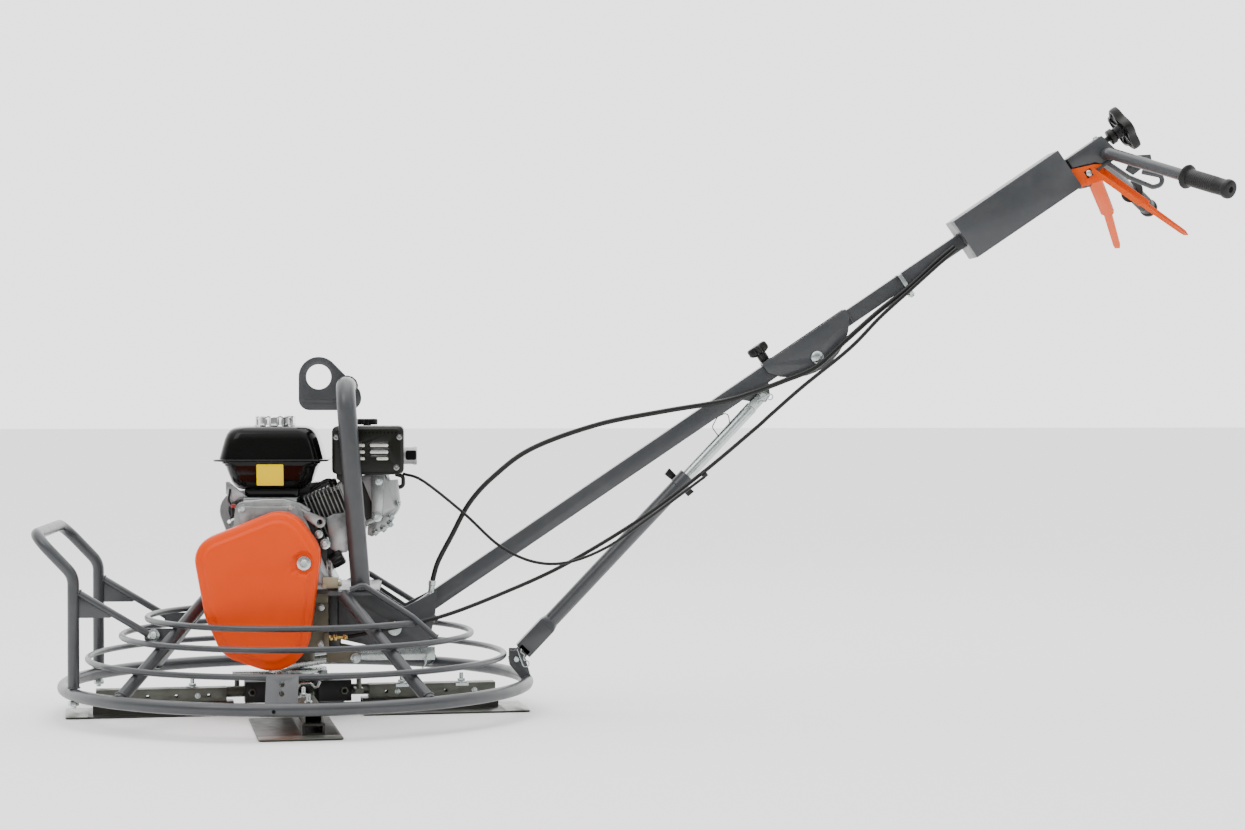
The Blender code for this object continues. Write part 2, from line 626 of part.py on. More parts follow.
def make_fuel_tank():
    """Pressed steel tank with a rim seam, hollow, and its chrome cap."""
    def levels(wall):
        loops = []
        for height, left, right, half in TANK_LEVELS:
            rim = wall and height in (0.5010, 0.5055)
            inset = wall + (0.010 if rim else 0.0)
            outline = rounded_rectangle((left + inset, TANK_Y - half + inset),
                                        (right - inset, TANK_Y + half - inset), 0.030 - inset / 2)
            if wall:
                height = min(max(height, TANK_LEVELS[0][0] + wall), TANK_LEVELS[-1][0] - wall)
            loops.append([(x, y, height) for x, y in outline])
        return loops

    outside = loft(levels(0.0))
    inner = levels(0.0025)
    inside = loft([inner[0]] + inner[2:])
    cap_at = (-0.043, TANK_Y)
    neck = rod((*cap_at, 0.560), (*cap_at, 0.5740), 0.022, 20)
    mouth = rod((*cap_at, 0.540), (*cap_at, 0.60), 0.018, 20)
    feet = block((-0.110, TANK_Y - 0.050, 0.4430), (0.012, TANK_Y + 0.030, 0.4550))
    piece("fuel_tank", cut(weld(outside, neck, feet), inside, mouth), "black_paint")
    cap = turned([(0, 0.0375), (0.021, 0.0380), (0.0255, 0.034), (0.0265, 0.020), (0.0275, 0.018)],
                 (*cap_at, 0.5690), (0, 0, 1), 24)
    pocket = rod((*cap_at, 0.5680), (*cap_at, 0.5840), 0.0225, 20)
    piece("fuel_cap", cut(cap, pocket), "chrome", (*cap_at, 0.5690))


def make_muffler():
    """Silencer with its outlet, inside a slotted heat guard."""
    silencer = weld(block((0.083, -0.088, 0.488), (0.204, -0.018, 0.562)),
                    rod((0.19, -0.052, 0.514), (0.240, -0.052, 0.514), 0.017, 16),
                    rod((0.112, -0.040, 0.495), (0.112, -0.040, 0.4755), 0.013, 12))
    outlet = rod((0.198, -0.052, 0.514), (0.25, -0.052, 0.514), 0.014, 16)
    piece("muffler", cut(silencer, outlet), "silver_paint")
    outside = [rounded_rectangle((0.073 + shrink, 0.478), (0.214 - shrink, 0.5735 - shrink), 0.010)
               for shrink in (0.006, 0.0, 0.0)]
    depths = (-0.101, -0.094, -0.006)
    guard = loft([[(x, y, z) for x, z in outline] for outline, y in zip(outside, depths)])
    room = loft([[(x, y, z) for x, z in rounded_rectangle((0.0755 + shrink, 0.4400),
                                                          (0.2115 - shrink, 0.5710 - shrink), 0.0075)]
                 for y, shrink in ((-0.0985, 0.0065), (-0.0930, 0.0), (0.01, 0.0))])
    guard = cut(guard, room)
    slots = []
    for column in (0.098, 0.150):
        for row in range(3):
            height = 0.512 + 0.013 * row
            slots.append(block((column, -0.11, height), (column + 0.034, -0.09, height + 0.005)))
    slots.append(rod((0.20, -0.052, 0.514), (0.23, -0.052, 0.514), 0.0185, 16))
    piece("muffler_guard", cut(guard, *slots), "black_paint")


def make_air_cleaner():
    """Air cleaner housing beyond the silencer, and the knob that holds its lid."""
    loops = []
    for height, shrink in ((0.484, 0.004), (0.490, 0.0), (0.548, 0.0), (0.560, 0.006), (0.566, 0.018)):
        outline = rounded_rectangle((0.078 + shrink, 0.004 + shrink),
                                    (0.200 - shrink, 0.122 - shrink), 0.026)
        loops.append([(x, y, height) for x, y in outline])
    nut_at = (0.138, 0.055)
    piece("air_cleaner", loft(loops), "black_plastic")
    nut = weld(rod((*nut_at, 0.5664), (*nut_at, 0.5800), 0.008, 12),
               block((nut_at[0] - 0.020, nut_at[1] - 0.004, 0.5740),
                     (nut_at[0] + 0.020, nut_at[1] + 0.004, 0.5860)))
    piece("air_cleaner_nut", nut, "black_plastic", (*nut_at, 0.5664))


def make_oil_cap():
    """Black oil filler cap on the slanted neck."""
    start = Vector((0.0704, -0.084, 0.3032))
    along = Vector((0.040, 0, 0.023)).normalized()
    piece("oil_filler_cap", turned([(0, 0.012), (0.006, 0.0150), (0.024, 0.0150), (0.028, 0.011)],
                                   start, along, 12), "black_plastic", tuple(start))


# ---------------------------------------------------------------- rotor
def radial(azimuth):
    """Unit vectors outward along an arm and towards its leading side."""
    return (Vector((math.cos(azimuth), math.sin(azimuth), 0)),
            Vector((-math.sin(azimuth), math.cos(azimuth), 0)))


def arm_azimuth(index):
    return ROTOR_TURN + index * math.pi / 2


def on_arm(azimuth, outward, lead, height):
    """A point given along an arm, towards its leading side, and up."""
    out, ahead = radial(azimuth)
    return out * outward + ahead * lead + Vector((0, 0, height))


def arm_block(azimuth, out_range, lead_range, height_range):
    """A block square to one arm."""
    corners = [(out_range[0], lead_range[0]), (out_range[1], lead_range[0]),
               (out_range[1], lead_range[1]), (out_range[0], lead_range[1])]
    return loft([[on_arm(azimuth, o, v, z) for o, v in corners] for z in height_range])


def make_spider():
    """Black cast cross that holds the four trowel arms under the gearbox."""
    hub = rod((0, 0, 0.019), (0, 0, 0.064), 0.046, 24)
    sockets = [arm_block(ROTOR_TURN + quarter, (-0.106, 0.106), (-0.022, 0.022), (0.0205, 0.0625))
               for quarter in (0, math.pi / 2)]
    bores = []
    for index in range(4):
        azimuth = arm_azimuth(index)
        bores.append(rod(on_arm(azimuth, 0.055, 0, ARM_HEIGHT), on_arm(azimuth, 0.12, 0, ARM_HEIGHT),
                         0.0115, 12))
    shaft_bore = rod((0, 0, 0.0292), (0, 0, 0.08), 0.0125 + GAP, 20)
    piece("spider", cut(weld(hub, *sockets), *bores, shaft_bore), "black_cast")


def make_arm(index):
    """Trowel arm: round spindle, lift finger and the holed channel that clamps the blade."""
    azimuth = arm_azimuth(index)
    spindle = rod(on_arm(azimuth, 0.0565, 0, ARM_HEIGHT), on_arm(azimuth, 0.150, 0, ARM_HEIGHT), 0.0110, 12)
    outside = arm_block(azimuth, (0.142, 0.398), (-0.018, 0.018), (0.0248, 0.0520))
    inside = arm_block(azimuth, (0.158, 0.41), (-0.0148, 0.0148), (0.02, 0.0488))
    channel = cut(outside, inside)
    finger = arm_block(azimuth, (0.110, 0.128), (-0.046, 0.004), (0.038, 0.048))
    contact = rod(on_arm(azimuth, 0.119, -0.038, 0.044), on_arm(azimuth, 0.119, -0.038, 0.0700), 0.005, 8)
    arm = weld(channel, spindle, finger, contact)
    holes = []
    for outward in (0.177, 0.241, 0.297):
        holes.append(rod(on_arm(azimuth, outward, -0.03, 0.037), on_arm(azimuth, outward, 0.03, 0.037),
                         0.0038, 6))
    piece(f"trowel_arm_{index + 1}", cut(arm, *holes), "galvanised",
          tuple(on_arm(azimuth, 0, 0, ARM_HEIGHT)))


def make_blade(index):
    """Flat steel trowel blade with the stiffening channel that its arm sits on."""
    azimuth = arm_azimuth(index)
    outline = rounded_rectangle((BLADE_INNER, -BLADE_TRAIL), (BLADE_TIP, BLADE_LEAD), 0.008, 2)
    plate = loft([[on_arm(azimuth, o, v, z) for o, v in outline] for z in (0.0, 0.0032)])
    stiffener = arm_block(azimuth, (0.128, 0.404), (-0.021, 0.021), (0.0020, 0.0244))
    trough = arm_block(azimuth, (0.12, 0.41), (-0.0165, 0.0165), (0.0070, 0.0205))
    piece(f"blade_{index + 1}", weld(plate, cut(stiffener, trough)), "blade_steel",
          tuple(on_arm(azimuth, 0, 0, ARM_HEIGHT)))


def make_pitch_gear():
    """Pressure plate that pushes the arms' fingers, and the yoke that pushes the plate."""
    disc = rod((0, 0, 0.0800), (0, 0, 0.0880), 0.058, 28)
    lobes = [arm_block(arm_azimuth(index), (0.040, 0.128), (-0.048, -0.024), (0.0703, 0.0785))
             for index in range(4)]
    risers = [arm_block(arm_azimuth(index), (0.044, 0.056), (-0.046, -0.026), (0.0703, 0.0850))
              for index in range(4)]
    plate = cut(weld(disc, *lobes, *risers), rod((0, 0, 0.06), (0, 0, 0.10), 0.0130, 20))
    piece("pressure_plate", plate, "zinc")
    tines = [bar((0.112, hand * 0.0455, 0.112), (-0.020, hand * 0.0455, 0.0940), 0.010, 0.010)
             for hand in (-1, 1)]
    bridge = block((0.1015, -0.0505, 0.1065), (0.1125, 0.0505, 0.1175))
    lever = block((0.106, -0.019, 0.1030), (0.275, 0.019, 0.1290))
    lever_hollow = block((0.127, -0.016, 0.0980), (0.28, 0.016, 0.1260))
    pivot = rod((0.118, -0.0640, 0.112), (0.118, 0.0640, 0.112), 0.0050, 12)
    eye = rod((0.259, -0.021, 0.114), (0.259, 0.021, 0.114), 0.0035, 10)
    yoke = weld(cut(lever, lever_hollow), bridge, *tines, pivot, eye)
    piece("pitch_yoke", yoke, "galvanised", (0.118, 0, 0.112))


# ---------------------------------------------------------------- handle
def on_handle(along, above, side=0.0):
    """A point along the handle from its foot, above its centreline, and to the side."""
    cosine, sine = math.cos(HANDLE_ANGLE), math.sin(HANDLE_ANGLE)
    return HANDLE_FOOT + Vector((along * cosine - above * sine, side, along * sine + above * cosine))


def handle_block(along_range, above_range, side_range):
    """A block square to the handle."""
    corners = [(above_range[0], side_range[0]), (above_range[1], side_range[0]),
               (above_range[1], side_range[1]), (above_range[0], side_range[1])]
    return loft([[on_handle(s, n, y) for n, y in corners] for s in along_range])


def handle_plate(outline, near, far):
    """A plate in the handle's plane from (along, above) points."""
    return loft([[on_handle(s, n, y) for s, n in outline] for y in (near, far)])


def cross_rod(along, above, near, far, radius, sides=12):
    """A round bar across the handle."""
    return rod(on_handle(along, above, near), on_handle(along, above, far), radius, sides)


def disc_outline(centre_along, centre_above, radius, count=14):
    """A full circle of (along, above) points."""
    return [(centre_along + radius * math.cos(2 * math.pi * k / count),
             centre_above + radius * math.sin(2 * math.pi * k / count)) for k in range(count)]


STRUT_LUG_ALONG = 0.8734
STRUT_LUG_BELOW = 0.0334


def make_lower_handle():
    """Square tube from the frame to the fold, with its foot bush and two lugs."""
    half = LOWER_TUBE / 2
    tube = handle_block((-0.012, FOLD_ALONG - GAP), (-half, half), (-half, half))
    bush = cross_rod(0, 0, -0.0452, 0.0452, 0.0150, 16)
    strut_lug = handle_plate([(STRUT_LUG_ALONG - 0.045, -0.010),
                              (STRUT_LUG_ALONG - 0.014, -STRUT_LUG_BELOW - 0.008),
                              (STRUT_LUG_ALONG, -STRUT_LUG_BELOW - 0.014),
                              (STRUT_LUG_ALONG + 0.014, -STRUT_LUG_BELOW - 0.008),
                              (STRUT_LUG_ALONG + 0.030, -0.010)], -0.003, 0.003)
    fold_lug = handle_plate(disc_outline(FOLD_ALONG, -FOLD_BELOW, 0.0142), -0.006, 0.006)
    fold_web = handle_plate([(FOLD_ALONG - 0.060, -0.010), (FOLD_ALONG - 0.010, -FOLD_BELOW - 0.010),
                             (FOLD_ALONG - 0.002, -FOLD_BELOW), (FOLD_ALONG - 0.002, -0.010)], -0.006, 0.006)
    handle = weld(tube, bush, strut_lug, fold_lug, fold_web)
    wall = 0.003
    room = handle_block((0.030, FOLD_ALONG + 0.05), (-half + wall, half - wall), (-half + wall, half - wall))
    foot_bore = cross_rod(0, 0, -0.06, 0.06, 0.0083, 16)
    fold_bore = cross_rod(FOLD_ALONG, -FOLD_BELOW, -0.02, 0.02, 0.0063)
    handle = cut(handle, room, foot_bore, fold_bore)
    piece("lower_handle", handle, "grey_paint", tuple(HANDLE_FOOT))
    piece("handle_pivot_pin", weld(cross_rod(0, 0, -0.0560, 0.0560, 0.0080, 16),
                                   cross_rod(0, 0, -0.0600, -0.0514, 0.0140, 16)),
          "zinc", tuple(HANDLE_FOOT))


def make_upper_handle():
    """Square tube with the fold cheeks at its foot and the lever lugs at its head."""
    half = UPPER_TUBE / 2
    end_along = 1.712
    tube = handle_block((FOLD_ALONG + GAP, end_along), (-half, half), (-half, half))
    start, end, top, radius = 0.908, 1.109, 0.0195, 0.118
    arc_centre = (FOLD_ALONG, 0.063)
    arc = []
    for step in range(11):
        along = start + (end - start) * step / 10
        arc.append((along, arc_centre[1] - math.sqrt(radius ** 2 - (along - arc_centre[0]) ** 2)))
    outline = [(end, top), (start, top)] + arc
    cheeks = [handle_plate(outline, hand * 0.0176, hand * 0.0216) for hand in (-1, 1)]
    spacer = handle_block((1.036, 1.100), (-0.0140, 0.0140), (-0.0200, 0.0200))
    bridge = handle_block((0.9085, 0.9300), (0.0176, 0.0226), (-0.0212, 0.0212))
    lug_outline = [(1.650, -0.012), (1.652, -0.050), (1.666, -0.056), (1.680, -0.050), (1.686, -0.012)]
    lugs = [handle_plate(lug_outline, hand * 0.0142, hand * 0.0186) for hand in (-1, 1)]
    saddle = handle_block((1.690, 1.746), (-0.0375, -0.0318), (-0.030, 0.030))
    saddle_ribs = [handle_block((1.692, 1.705), (-0.0360, -0.0100), (hand * 0.008, hand * 0.013))
                   for hand in (-1, 1)]
    handle = weld(tube, spacer, *cheeks, bridge, *lugs, saddle, *saddle_ribs)
    wall = 0.0025
    room = handle_block((FOLD_ALONG - 0.02, end_along + 0.02), (-half + wall, half - wall),
                        (-half + wall, half - wall))
    bores = [cross_rod(FOLD_ALONG, -FOLD_BELOW, -0.03, 0.03, 0.0063),
             rod(on_handle(0.9190, 0.010), on_handle(0.9190, 0.030), 0.0054, 12),
             cross_rod(1.666, -0.043, -0.03, 0.03, 0.0054)]
    piece("upper_handle", cut(handle, room, *bores), "grey_paint", tuple(on_handle(FOLD_ALONG, -FOLD_BELOW)))


def make_fold_hardware():
    """Fold bolt, the star knob that locks the fold, and the strut's locking wing."""
    at = on_handle(FOLD_ALONG, -FOLD_BELOW)
    bolt = weld(cross_rod(FOLD_ALONG, -FOLD_BELOW, -0.0240, 0.0270, 0.0060, 12),
                cross_rod(FOLD_ALONG, -FOLD_BELOW, -0.0290, -0.0219, 0.0110, 6),
                cross_rod(FOLD_ALONG, -FOLD_BELOW, 0.0219, 0.0290, 0.0100, 6))
    piece("fold_bolt", bolt, "zinc", tuple(at))
    axis = on_handle(0, 1) - on_handle(0, 0)
    foot = on_handle(0.9190, 0.0174)
    across, upward = frame_of(axis)
    star = []
    for k in range(24):
        angle = 2 * math.pi * k / 24
        reach = 0.0200 + 0.0035 * math.cos(6 * angle)
        star.append(reach * (math.cos(angle) * across + math.sin(angle) * upward))
    head = loft([[foot + axis * height + point * scale for point in star]
                 for height, scale in ((0.022, 0.8), (0.026, 1.0), (0.038, 1.0), (0.042, 0.8))])
    stem = rod(foot + axis * 0.0004, foot + axis * 0.026, 0.0050, 12)
    collar = rod(foot + axis * 0.0056, foot + axis * 0.026, 0.0095, 12)
    piece("fold_knob", weld(head, stem, collar), "black_plastic", tuple(foot))


def make_control_box():
    """Folded steel box round the upper tube that houses the stop mechanism."""
    outside = handle_block((1.388, 1.646), (-0.044, 0.044), (-0.045, 0.045))
    inside = handle_block((1.3905, 1.6435), (-0.0415, 0.0415), (-0.0425, 0.0425))
    half = UPPER_TUBE / 2 + GAP
    tunnel = handle_block((1.37, 1.66), (-half, half), (-half, half))
    piece("control_box", cut(outside, inside, tunnel), "grey_paint")


HANDLEBAR_ALONG = 1.7280
HANDLEBAR_BELOW = 0.0190
GRIP_START = 0.215
GRIP_END = 0.305


def handlebar_point(side):
    """Centre of the swept-back handlebar at a distance out to one side."""
    inner = on_handle(HANDLEBAR_ALONG, -HANDLEBAR_BELOW)
    inner_side = 0.052
    outer = Vector((1.812, GRIP_END, 1.033))
    part = (abs(side) - inner_side) / (GRIP_END - inner_side)
    point = inner.lerp(outer, part)
    point.y = side
    return point


def make_handlebar():
    """Bent tube across the head with a rubber grip on each end."""
    corners = [handlebar_point(-GRIP_END + 0.004), handlebar_point(-0.052), handlebar_point(0.052),
               handlebar_point(GRIP_END - 0.004)]
    piece("handlebar", pipe(rounded(corners, 0.030, 3), 0.0120, 12), "grey_paint")
    for name, hand in (("near", -1), ("far", 1)):
        start = handlebar_point(hand * GRIP_START)
        end = handlebar_point(hand * GRIP_END)
        along = (end - start).normalized()
        length = (end - start).length
        body = turned([(0, 0.022), (0.003, 0.0245), (0.006, 0.022), (0.009, 0.0170),
                       (length - 0.012, 0.0165), (length - 0.008, 0.0190),
                       (length - 0.001, 0.0185), (length + 0.003, 0.0140)],
                      start, along, 16)
        hollow = rod(start - 0.01 * along, handlebar_point(hand * (GRIP_END - 0.004)) + 0.0006 * along,
                     0.0126, 12)
        piece("grip_" + name, cut(body, hollow), "rubber")


LEVER_ALONG = 1.666
LEVER_BELOW = 0.043


def make_stop_lever():
    """Orange dead-man lever: a cross pin with two arms that spread under the grips."""
    pin = cross_rod(LEVER_ALONG, -LEVER_BELOW, -0.034, 0.034, 0.0050, 12)
    arms = []
    for hand in (-1, 1):
        hub = cross_rod(LEVER_ALONG, -LEVER_BELOW, hand * 0.0192, hand * 0.0330, 0.0120, 12)
        root = on_handle(LEVER_ALONG, -LEVER_BELOW, hand * 0.0270)
        knee = Vector((1.655, hand * 0.150, 1.012))
        tip = Vector((1.706, hand * 0.272, 0.951))
        arms += [hub, bar(root, knee, 0.005, 0.022), bar(knee + (root - knee) * 0.10, tip, 0.005, 0.019)]
    piece("stop_lever", weld(pin, *arms), "orange_paint", tuple(on_handle(LEVER_ALONG, -LEVER_BELOW)))


def make_pitch_wheel():
    """Star wheel at the head that winds the pitch cable in and out."""
    axis = on_handle(1, 0) - on_handle(0, 0)
    hub_at = on_handle(1.793, 0.003)
    across, upward = frame_of(axis)
    rim = []
    for k in range(30):
        angle = 2 * math.pi * k / 30
        reach = 0.0460 + 0.0050 * math.cos(5 * angle)
        rim.append(reach * (math.cos(angle) * across + math.sin(angle) * upward))
    wheel = loft([[hub_at + axis * height + point * scale for point in rim]
                  for height, scale in ((-0.008, 0.9), (-0.004, 1.0), (0.005, 1.0), (0.009, 0.9))])
    windows = []
    for k in range(5):
        angle = 2 * math.pi * (k + 0.5) / 5
        spot = hub_at + 0.026 * (math.cos(angle) * across + math.sin(angle) * upward)
        windows.append(rod(spot - 0.02 * axis, spot + 0.02 * axis, 0.0085, 10))
    wheel = cut(wheel, *windows)
    boss = rod(hub_at - 0.022 * axis, hub_at + 0.012 * axis, 0.0130, 16)
    shaft = rod(hub_at - 0.125 * axis, hub_at - 0.010 * axis, 0.0060, 12)
    piece("pitch_wheel", weld(wheel, boss, shaft), "black_plastic", tuple(hub_at))


# ---------------------------------------------------------------- strut
STRUT_LINE = (STRUT_TOP - STRUT_FOOT).normalized()
STRUT_LENGTH = (STRUT_TOP - STRUT_FOOT).length
STRUT_NORMAL = Vector((-STRUT_LINE.z, 0, STRUT_LINE.x))


def on_strut(along, above=0.0, side=0.0):
    """A point along the strut from its foot pin."""
    return STRUT_FOOT + STRUT_LINE * along + STRUT_NORMAL * above + Vector((0, side, 0))


def make_strut():
    """Telescopic strut that sets the handle's height, with its locking wing."""
    sleeve = bar(on_strut(0.020), on_strut(0.096), 0.036, 0.036)
    ear = bar(on_strut(-0.011), on_strut(0.030), 0.036, 0.022)
    tube = rod(on_strut(0.090), on_strut(0.505), 0.0155, 14)
    bore = rod(on_strut(0.110), on_strut(0.52), 0.0128, 14)
    foot_bore = rod(on_strut(0, 0, -0.03), on_strut(0, 0, 0.03), 0.0063, 12)
    wing_bore = rod(on_strut(0.484, 0, 0.010), on_strut(0.484, 0, 0.02), 0.0044, 10)
    piece("strut_outer", cut(weld(sleeve, ear, tube), bore, foot_bore, wing_bore), "grey_paint",
          tuple(STRUT_FOOT))
    inner = rod(on_strut(0.262), on_strut(0.696), 0.0124, 14)
    ears = [bar(on_strut(0.682, 0, hand * 0.0078), on_strut(STRUT_LENGTH + 0.011, 0, hand * 0.0078),
                0.0050, 0.020) for hand in (-1, 1)]
    heads = [rod(on_strut(STRUT_LENGTH, 0, hand * 0.0090), on_strut(STRUT_LENGTH, 0, hand * 0.0150),
                 0.0070, 12) for hand in (-1, 1)]
    piece("strut_inner", weld(inner, *ears, *heads), "zinc", tuple(STRUT_TOP))
    wing_bar = bar(on_strut(0.484, -0.032, 0.033), on_strut(0.484, 0.032, 0.033), 0.012, 0.014,
                   up=(0, 1, 0))
    wing = weld(rod(on_strut(0.484, 0, 0.0132), on_strut(0.484, 0, 0.034), 0.0040, 10),
                rod(on_strut(0.484, 0, 0.0160), on_strut(0.484, 0, 0.036), 0.0085, 12), wing_bar)
    piece("strut_wing_knob", wing, "black_plastic", tuple(on_strut(0.484)))


# ---------------------------------------------------------------- cables


def smooth(points, spacing):
    """A smooth curve through the points, read off at even steps."""
    points = [Vector(point) for point in points]
    padded = [2 * points[0] - points[1]] + points + [2 * points[-1] - points[-2]]
    path = [points[0]]
    for a, b, c, d in zip(padded, padded[1:], padded[2:], padded[3:]):
        steps = max(1, round((c - b).length / spacing))
        for step in range(1, steps + 1):
            t = step / steps
            path.append(0.5 * (2 * b + (c - a) * t + (2 * a - 5 * b + 4 * c - d) * t ** 2
                               + (3 * b - a - 3 * c + d) * t ** 3))
    return path


def cable(name, route, radius, spacing):
    """A control cable as a bevelled curve with filled ends."""
    curve = bpy.data.curves.new(name, "CURVE")
    curve.dimensions = "3D"
    curve.bevel_depth = radius
    curve.bevel_resolution = 2
    curve.use_fill_caps = True
    curve.resolution_u = 1
    curve.render_resolution_u = 0
    points = smooth(route, spacing)
    spline = curve.splines.new("POLY")
    spline.points.add(len(points) - 1)
    for target, point in zip(spline.points, points):
        target.co = (*point, 1)
    curve.materials.append(MATERIALS["cable_black"])
    tube = bpy.data.objects.new(name, curve)
    bpy.context.collection.objects.link(tube)
    tube.parent = machine


def make_cables():
    """Pitch, stop and throttle cables, each in a lower and an upper length."""
    cable("pitch_cable_lower", [(0.2700, -0.030, 0.262), (0.281, -0.031, 0.300), (0.308, -0.036, 0.352),
                                (0.345, -0.040, 0.420), (0.395, -0.042, 0.474), (0.470, -0.042, 0.528),
                                (0.600, -0.040, 0.575), (0.735, -0.038, 0.602), (0.855, -0.036, 0.622),
                                (0.925, -0.0345, 0.643)], 0.0052, 0.030)
    cable("pitch_cable_upper", [(0.9275, -0.0345, 0.6438), (0.975, -0.036, 0.662), (1.040, -0.038, 0.690),
                                (1.100, -0.036, 0.742), (1.170, -0.030, 0.803), (1.232, -0.026, 0.852),
                                (1.290, -0.024, 0.905), (1.326, -0.024, 0.9345)], 0.0052, 0.030)
    cable("stop_cable_lower", [(0.104, -0.078, 0.156), (0.160, -0.092, 0.168), (0.285, -0.098, 0.196),
                               (0.412, -0.080, 0.242), (0.538, -0.060, 0.298), (0.690, -0.046, 0.388),
                               (0.812, -0.040, 0.478), (0.918, -0.0375, 0.5640), (0.945, -0.0370, 0.5940)],
          0.0040, 0.023)
    cable("stop_cable_upper", [(0.9470, -0.0370, 0.5960), (1.012, -0.050, 0.655), (1.108, -0.052, 0.728),
                               (1.172, -0.043, 0.792), (1.232, -0.035, 0.845), (1.290, -0.034, 0.897),
                               (1.329, -0.034, 0.9300)], 0.0040, 0.023)
    cable("throttle_cable", [(0.212, -0.020, 0.477), (0.252, -0.040, 0.463), (0.332, -0.078, 0.401),
                             (0.402, -0.086, 0.337), (0.470, -0.086, 0.304), (0.540, -0.080, 0.302),
                             (0.620, -0.068, 0.332), (0.702, -0.060, 0.388), (0.815, -0.050, 0.4700)],
          0.0030, 0.017)


make_guard_rings()
make_top_guard()
make_base_frame()
make_carry_handle()
make_lifting_frame()
make_gearbox()
make_belt_drive()
make_belt_cover()
make_crankcase()
make_crankshaft()
make_cylinder()
make_starter()
make_fuel_tank()
make_muffler()
make_air_cleaner()
make_oil_cap()
make_spider()
for number in range(4):
    make_arm(number)
    make_blade(number)
make_pitch_gear()
make_lower_handle()
make_upper_handle()
make_fold_hardware()
make_control_box()
make_handlebar()
make_stop_lever()
make_pitch_wheel()
make_strut()
make_cables()
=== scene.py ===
import json
import math

import bmesh
import bpy
from mathutils import Matrix, Vector, noise

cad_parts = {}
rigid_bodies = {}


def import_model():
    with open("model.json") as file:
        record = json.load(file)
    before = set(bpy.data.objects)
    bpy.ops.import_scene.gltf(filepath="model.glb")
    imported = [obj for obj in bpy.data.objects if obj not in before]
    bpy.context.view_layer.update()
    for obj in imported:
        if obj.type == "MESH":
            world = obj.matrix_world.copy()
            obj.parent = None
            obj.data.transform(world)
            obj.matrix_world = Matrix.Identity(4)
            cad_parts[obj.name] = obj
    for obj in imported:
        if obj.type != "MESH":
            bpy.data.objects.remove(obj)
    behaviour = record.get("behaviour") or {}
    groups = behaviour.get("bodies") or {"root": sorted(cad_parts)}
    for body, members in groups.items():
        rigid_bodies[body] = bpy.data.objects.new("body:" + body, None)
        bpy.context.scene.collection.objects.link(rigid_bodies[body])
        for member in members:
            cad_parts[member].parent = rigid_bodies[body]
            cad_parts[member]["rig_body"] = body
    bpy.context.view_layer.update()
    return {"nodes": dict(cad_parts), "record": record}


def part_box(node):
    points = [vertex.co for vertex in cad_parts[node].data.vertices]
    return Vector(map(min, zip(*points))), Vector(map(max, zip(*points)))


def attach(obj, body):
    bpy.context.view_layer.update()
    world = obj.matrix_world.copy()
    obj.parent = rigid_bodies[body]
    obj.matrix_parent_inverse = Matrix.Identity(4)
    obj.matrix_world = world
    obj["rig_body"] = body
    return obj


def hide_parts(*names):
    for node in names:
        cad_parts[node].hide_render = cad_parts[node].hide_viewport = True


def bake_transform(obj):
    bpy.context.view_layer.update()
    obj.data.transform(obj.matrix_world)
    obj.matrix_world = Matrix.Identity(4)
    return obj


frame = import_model()
NODES = frame["nodes"]


def middle(node):
    """Middle of a CAD node's box."""
    low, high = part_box(node)
    return (low + high) / 2


# Everything below is laid out about the rotor, as the CAD is: X from the rotor
# towards the operator, Y across the machine, Z up from the floor.
ROTOR = Vector((middle("output_shaft").x, 0, 0))
FOOT = middle("handle_pivot_pin") - ROTOR
FOOT.y = 0.0
HANDLE_ANGLE = math.radians(34.1)
ALONG = Vector((math.cos(HANDLE_ANGLE), 0, math.sin(HANDLE_ANGLE)))
ABOVE = Vector((-ALONG.z, 0, ALONG.x))
SIDE = Vector((0, 1, 0))
UP = Vector((0, 0, 1))
STRUT_FOOT = Vector((0.438, 0, 0.104))
STRUT_TOP = Vector((0.937, 0, 0.632))
STRUT_LINE = (STRUT_TOP - STRUT_FOOT).normalized()
STRUT_NORMAL = Vector((-STRUT_LINE.z, 0, STRUT_LINE.x))
ROTOR_TURN = math.radians(7.3)

RING_LOW, RING_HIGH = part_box("guard_outer_ring")
RING_TUBE = 0.0125
RING_RADIUS = (RING_HIGH.y - RING_LOW.y) / 2 - RING_TUBE
RING_HEIGHT = 0.058
ROD = 0.006


# ---------------------------------------------------------------- materials
def shade_node(tree, kind, **sockets):
    """A shader node with some of its sockets set or linked."""
    made = tree.nodes.new(kind)
    for name, value in sockets.items():
        socket = made.inputs[name.replace("_", " ")]
        if isinstance(value, bpy.types.NodeSocket):
            tree.links.new(value, socket)
        else:
            socket.default_value = value
    return made


def noise_between(tree, place, scale, low, high, detail=4.0, edges=(0.3, 0.7)):
    """Fractal noise, stretched to run from low to high."""
    speckle = shade_node(tree, "ShaderNodeTexNoise", Vector=place, Scale=scale, Detail=detail)
    spread = shade_node(tree, "ShaderNodeMapRange", Value=speckle.outputs["Fac"],
                        From_Min=edges[0], From_Max=edges[1], To_Min=low, To_Max=high)
    return spread.outputs["Result"]


def blend_colour(tree, share, first, second):
    """Mix of two colours by a share."""
    mixer = tree.nodes.new("ShaderNodeMix")
    mixer.data_type = "RGBA"
    tree.links.new(share, mixer.inputs["Factor"])
    for socket, value in ((mixer.inputs["A"], first), (mixer.inputs["B"], second)):
        if isinstance(value, bpy.types.NodeSocket):
            tree.links.new(value, socket)
        else:
            socket.default_value = (*value, 1)
    return mixer.outputs["Result"]


def scaled(colour, share):
    """A colour made darker or lighter."""
    return tuple(min(1.0, channel * share) for channel in colour)


LOOKS = {}


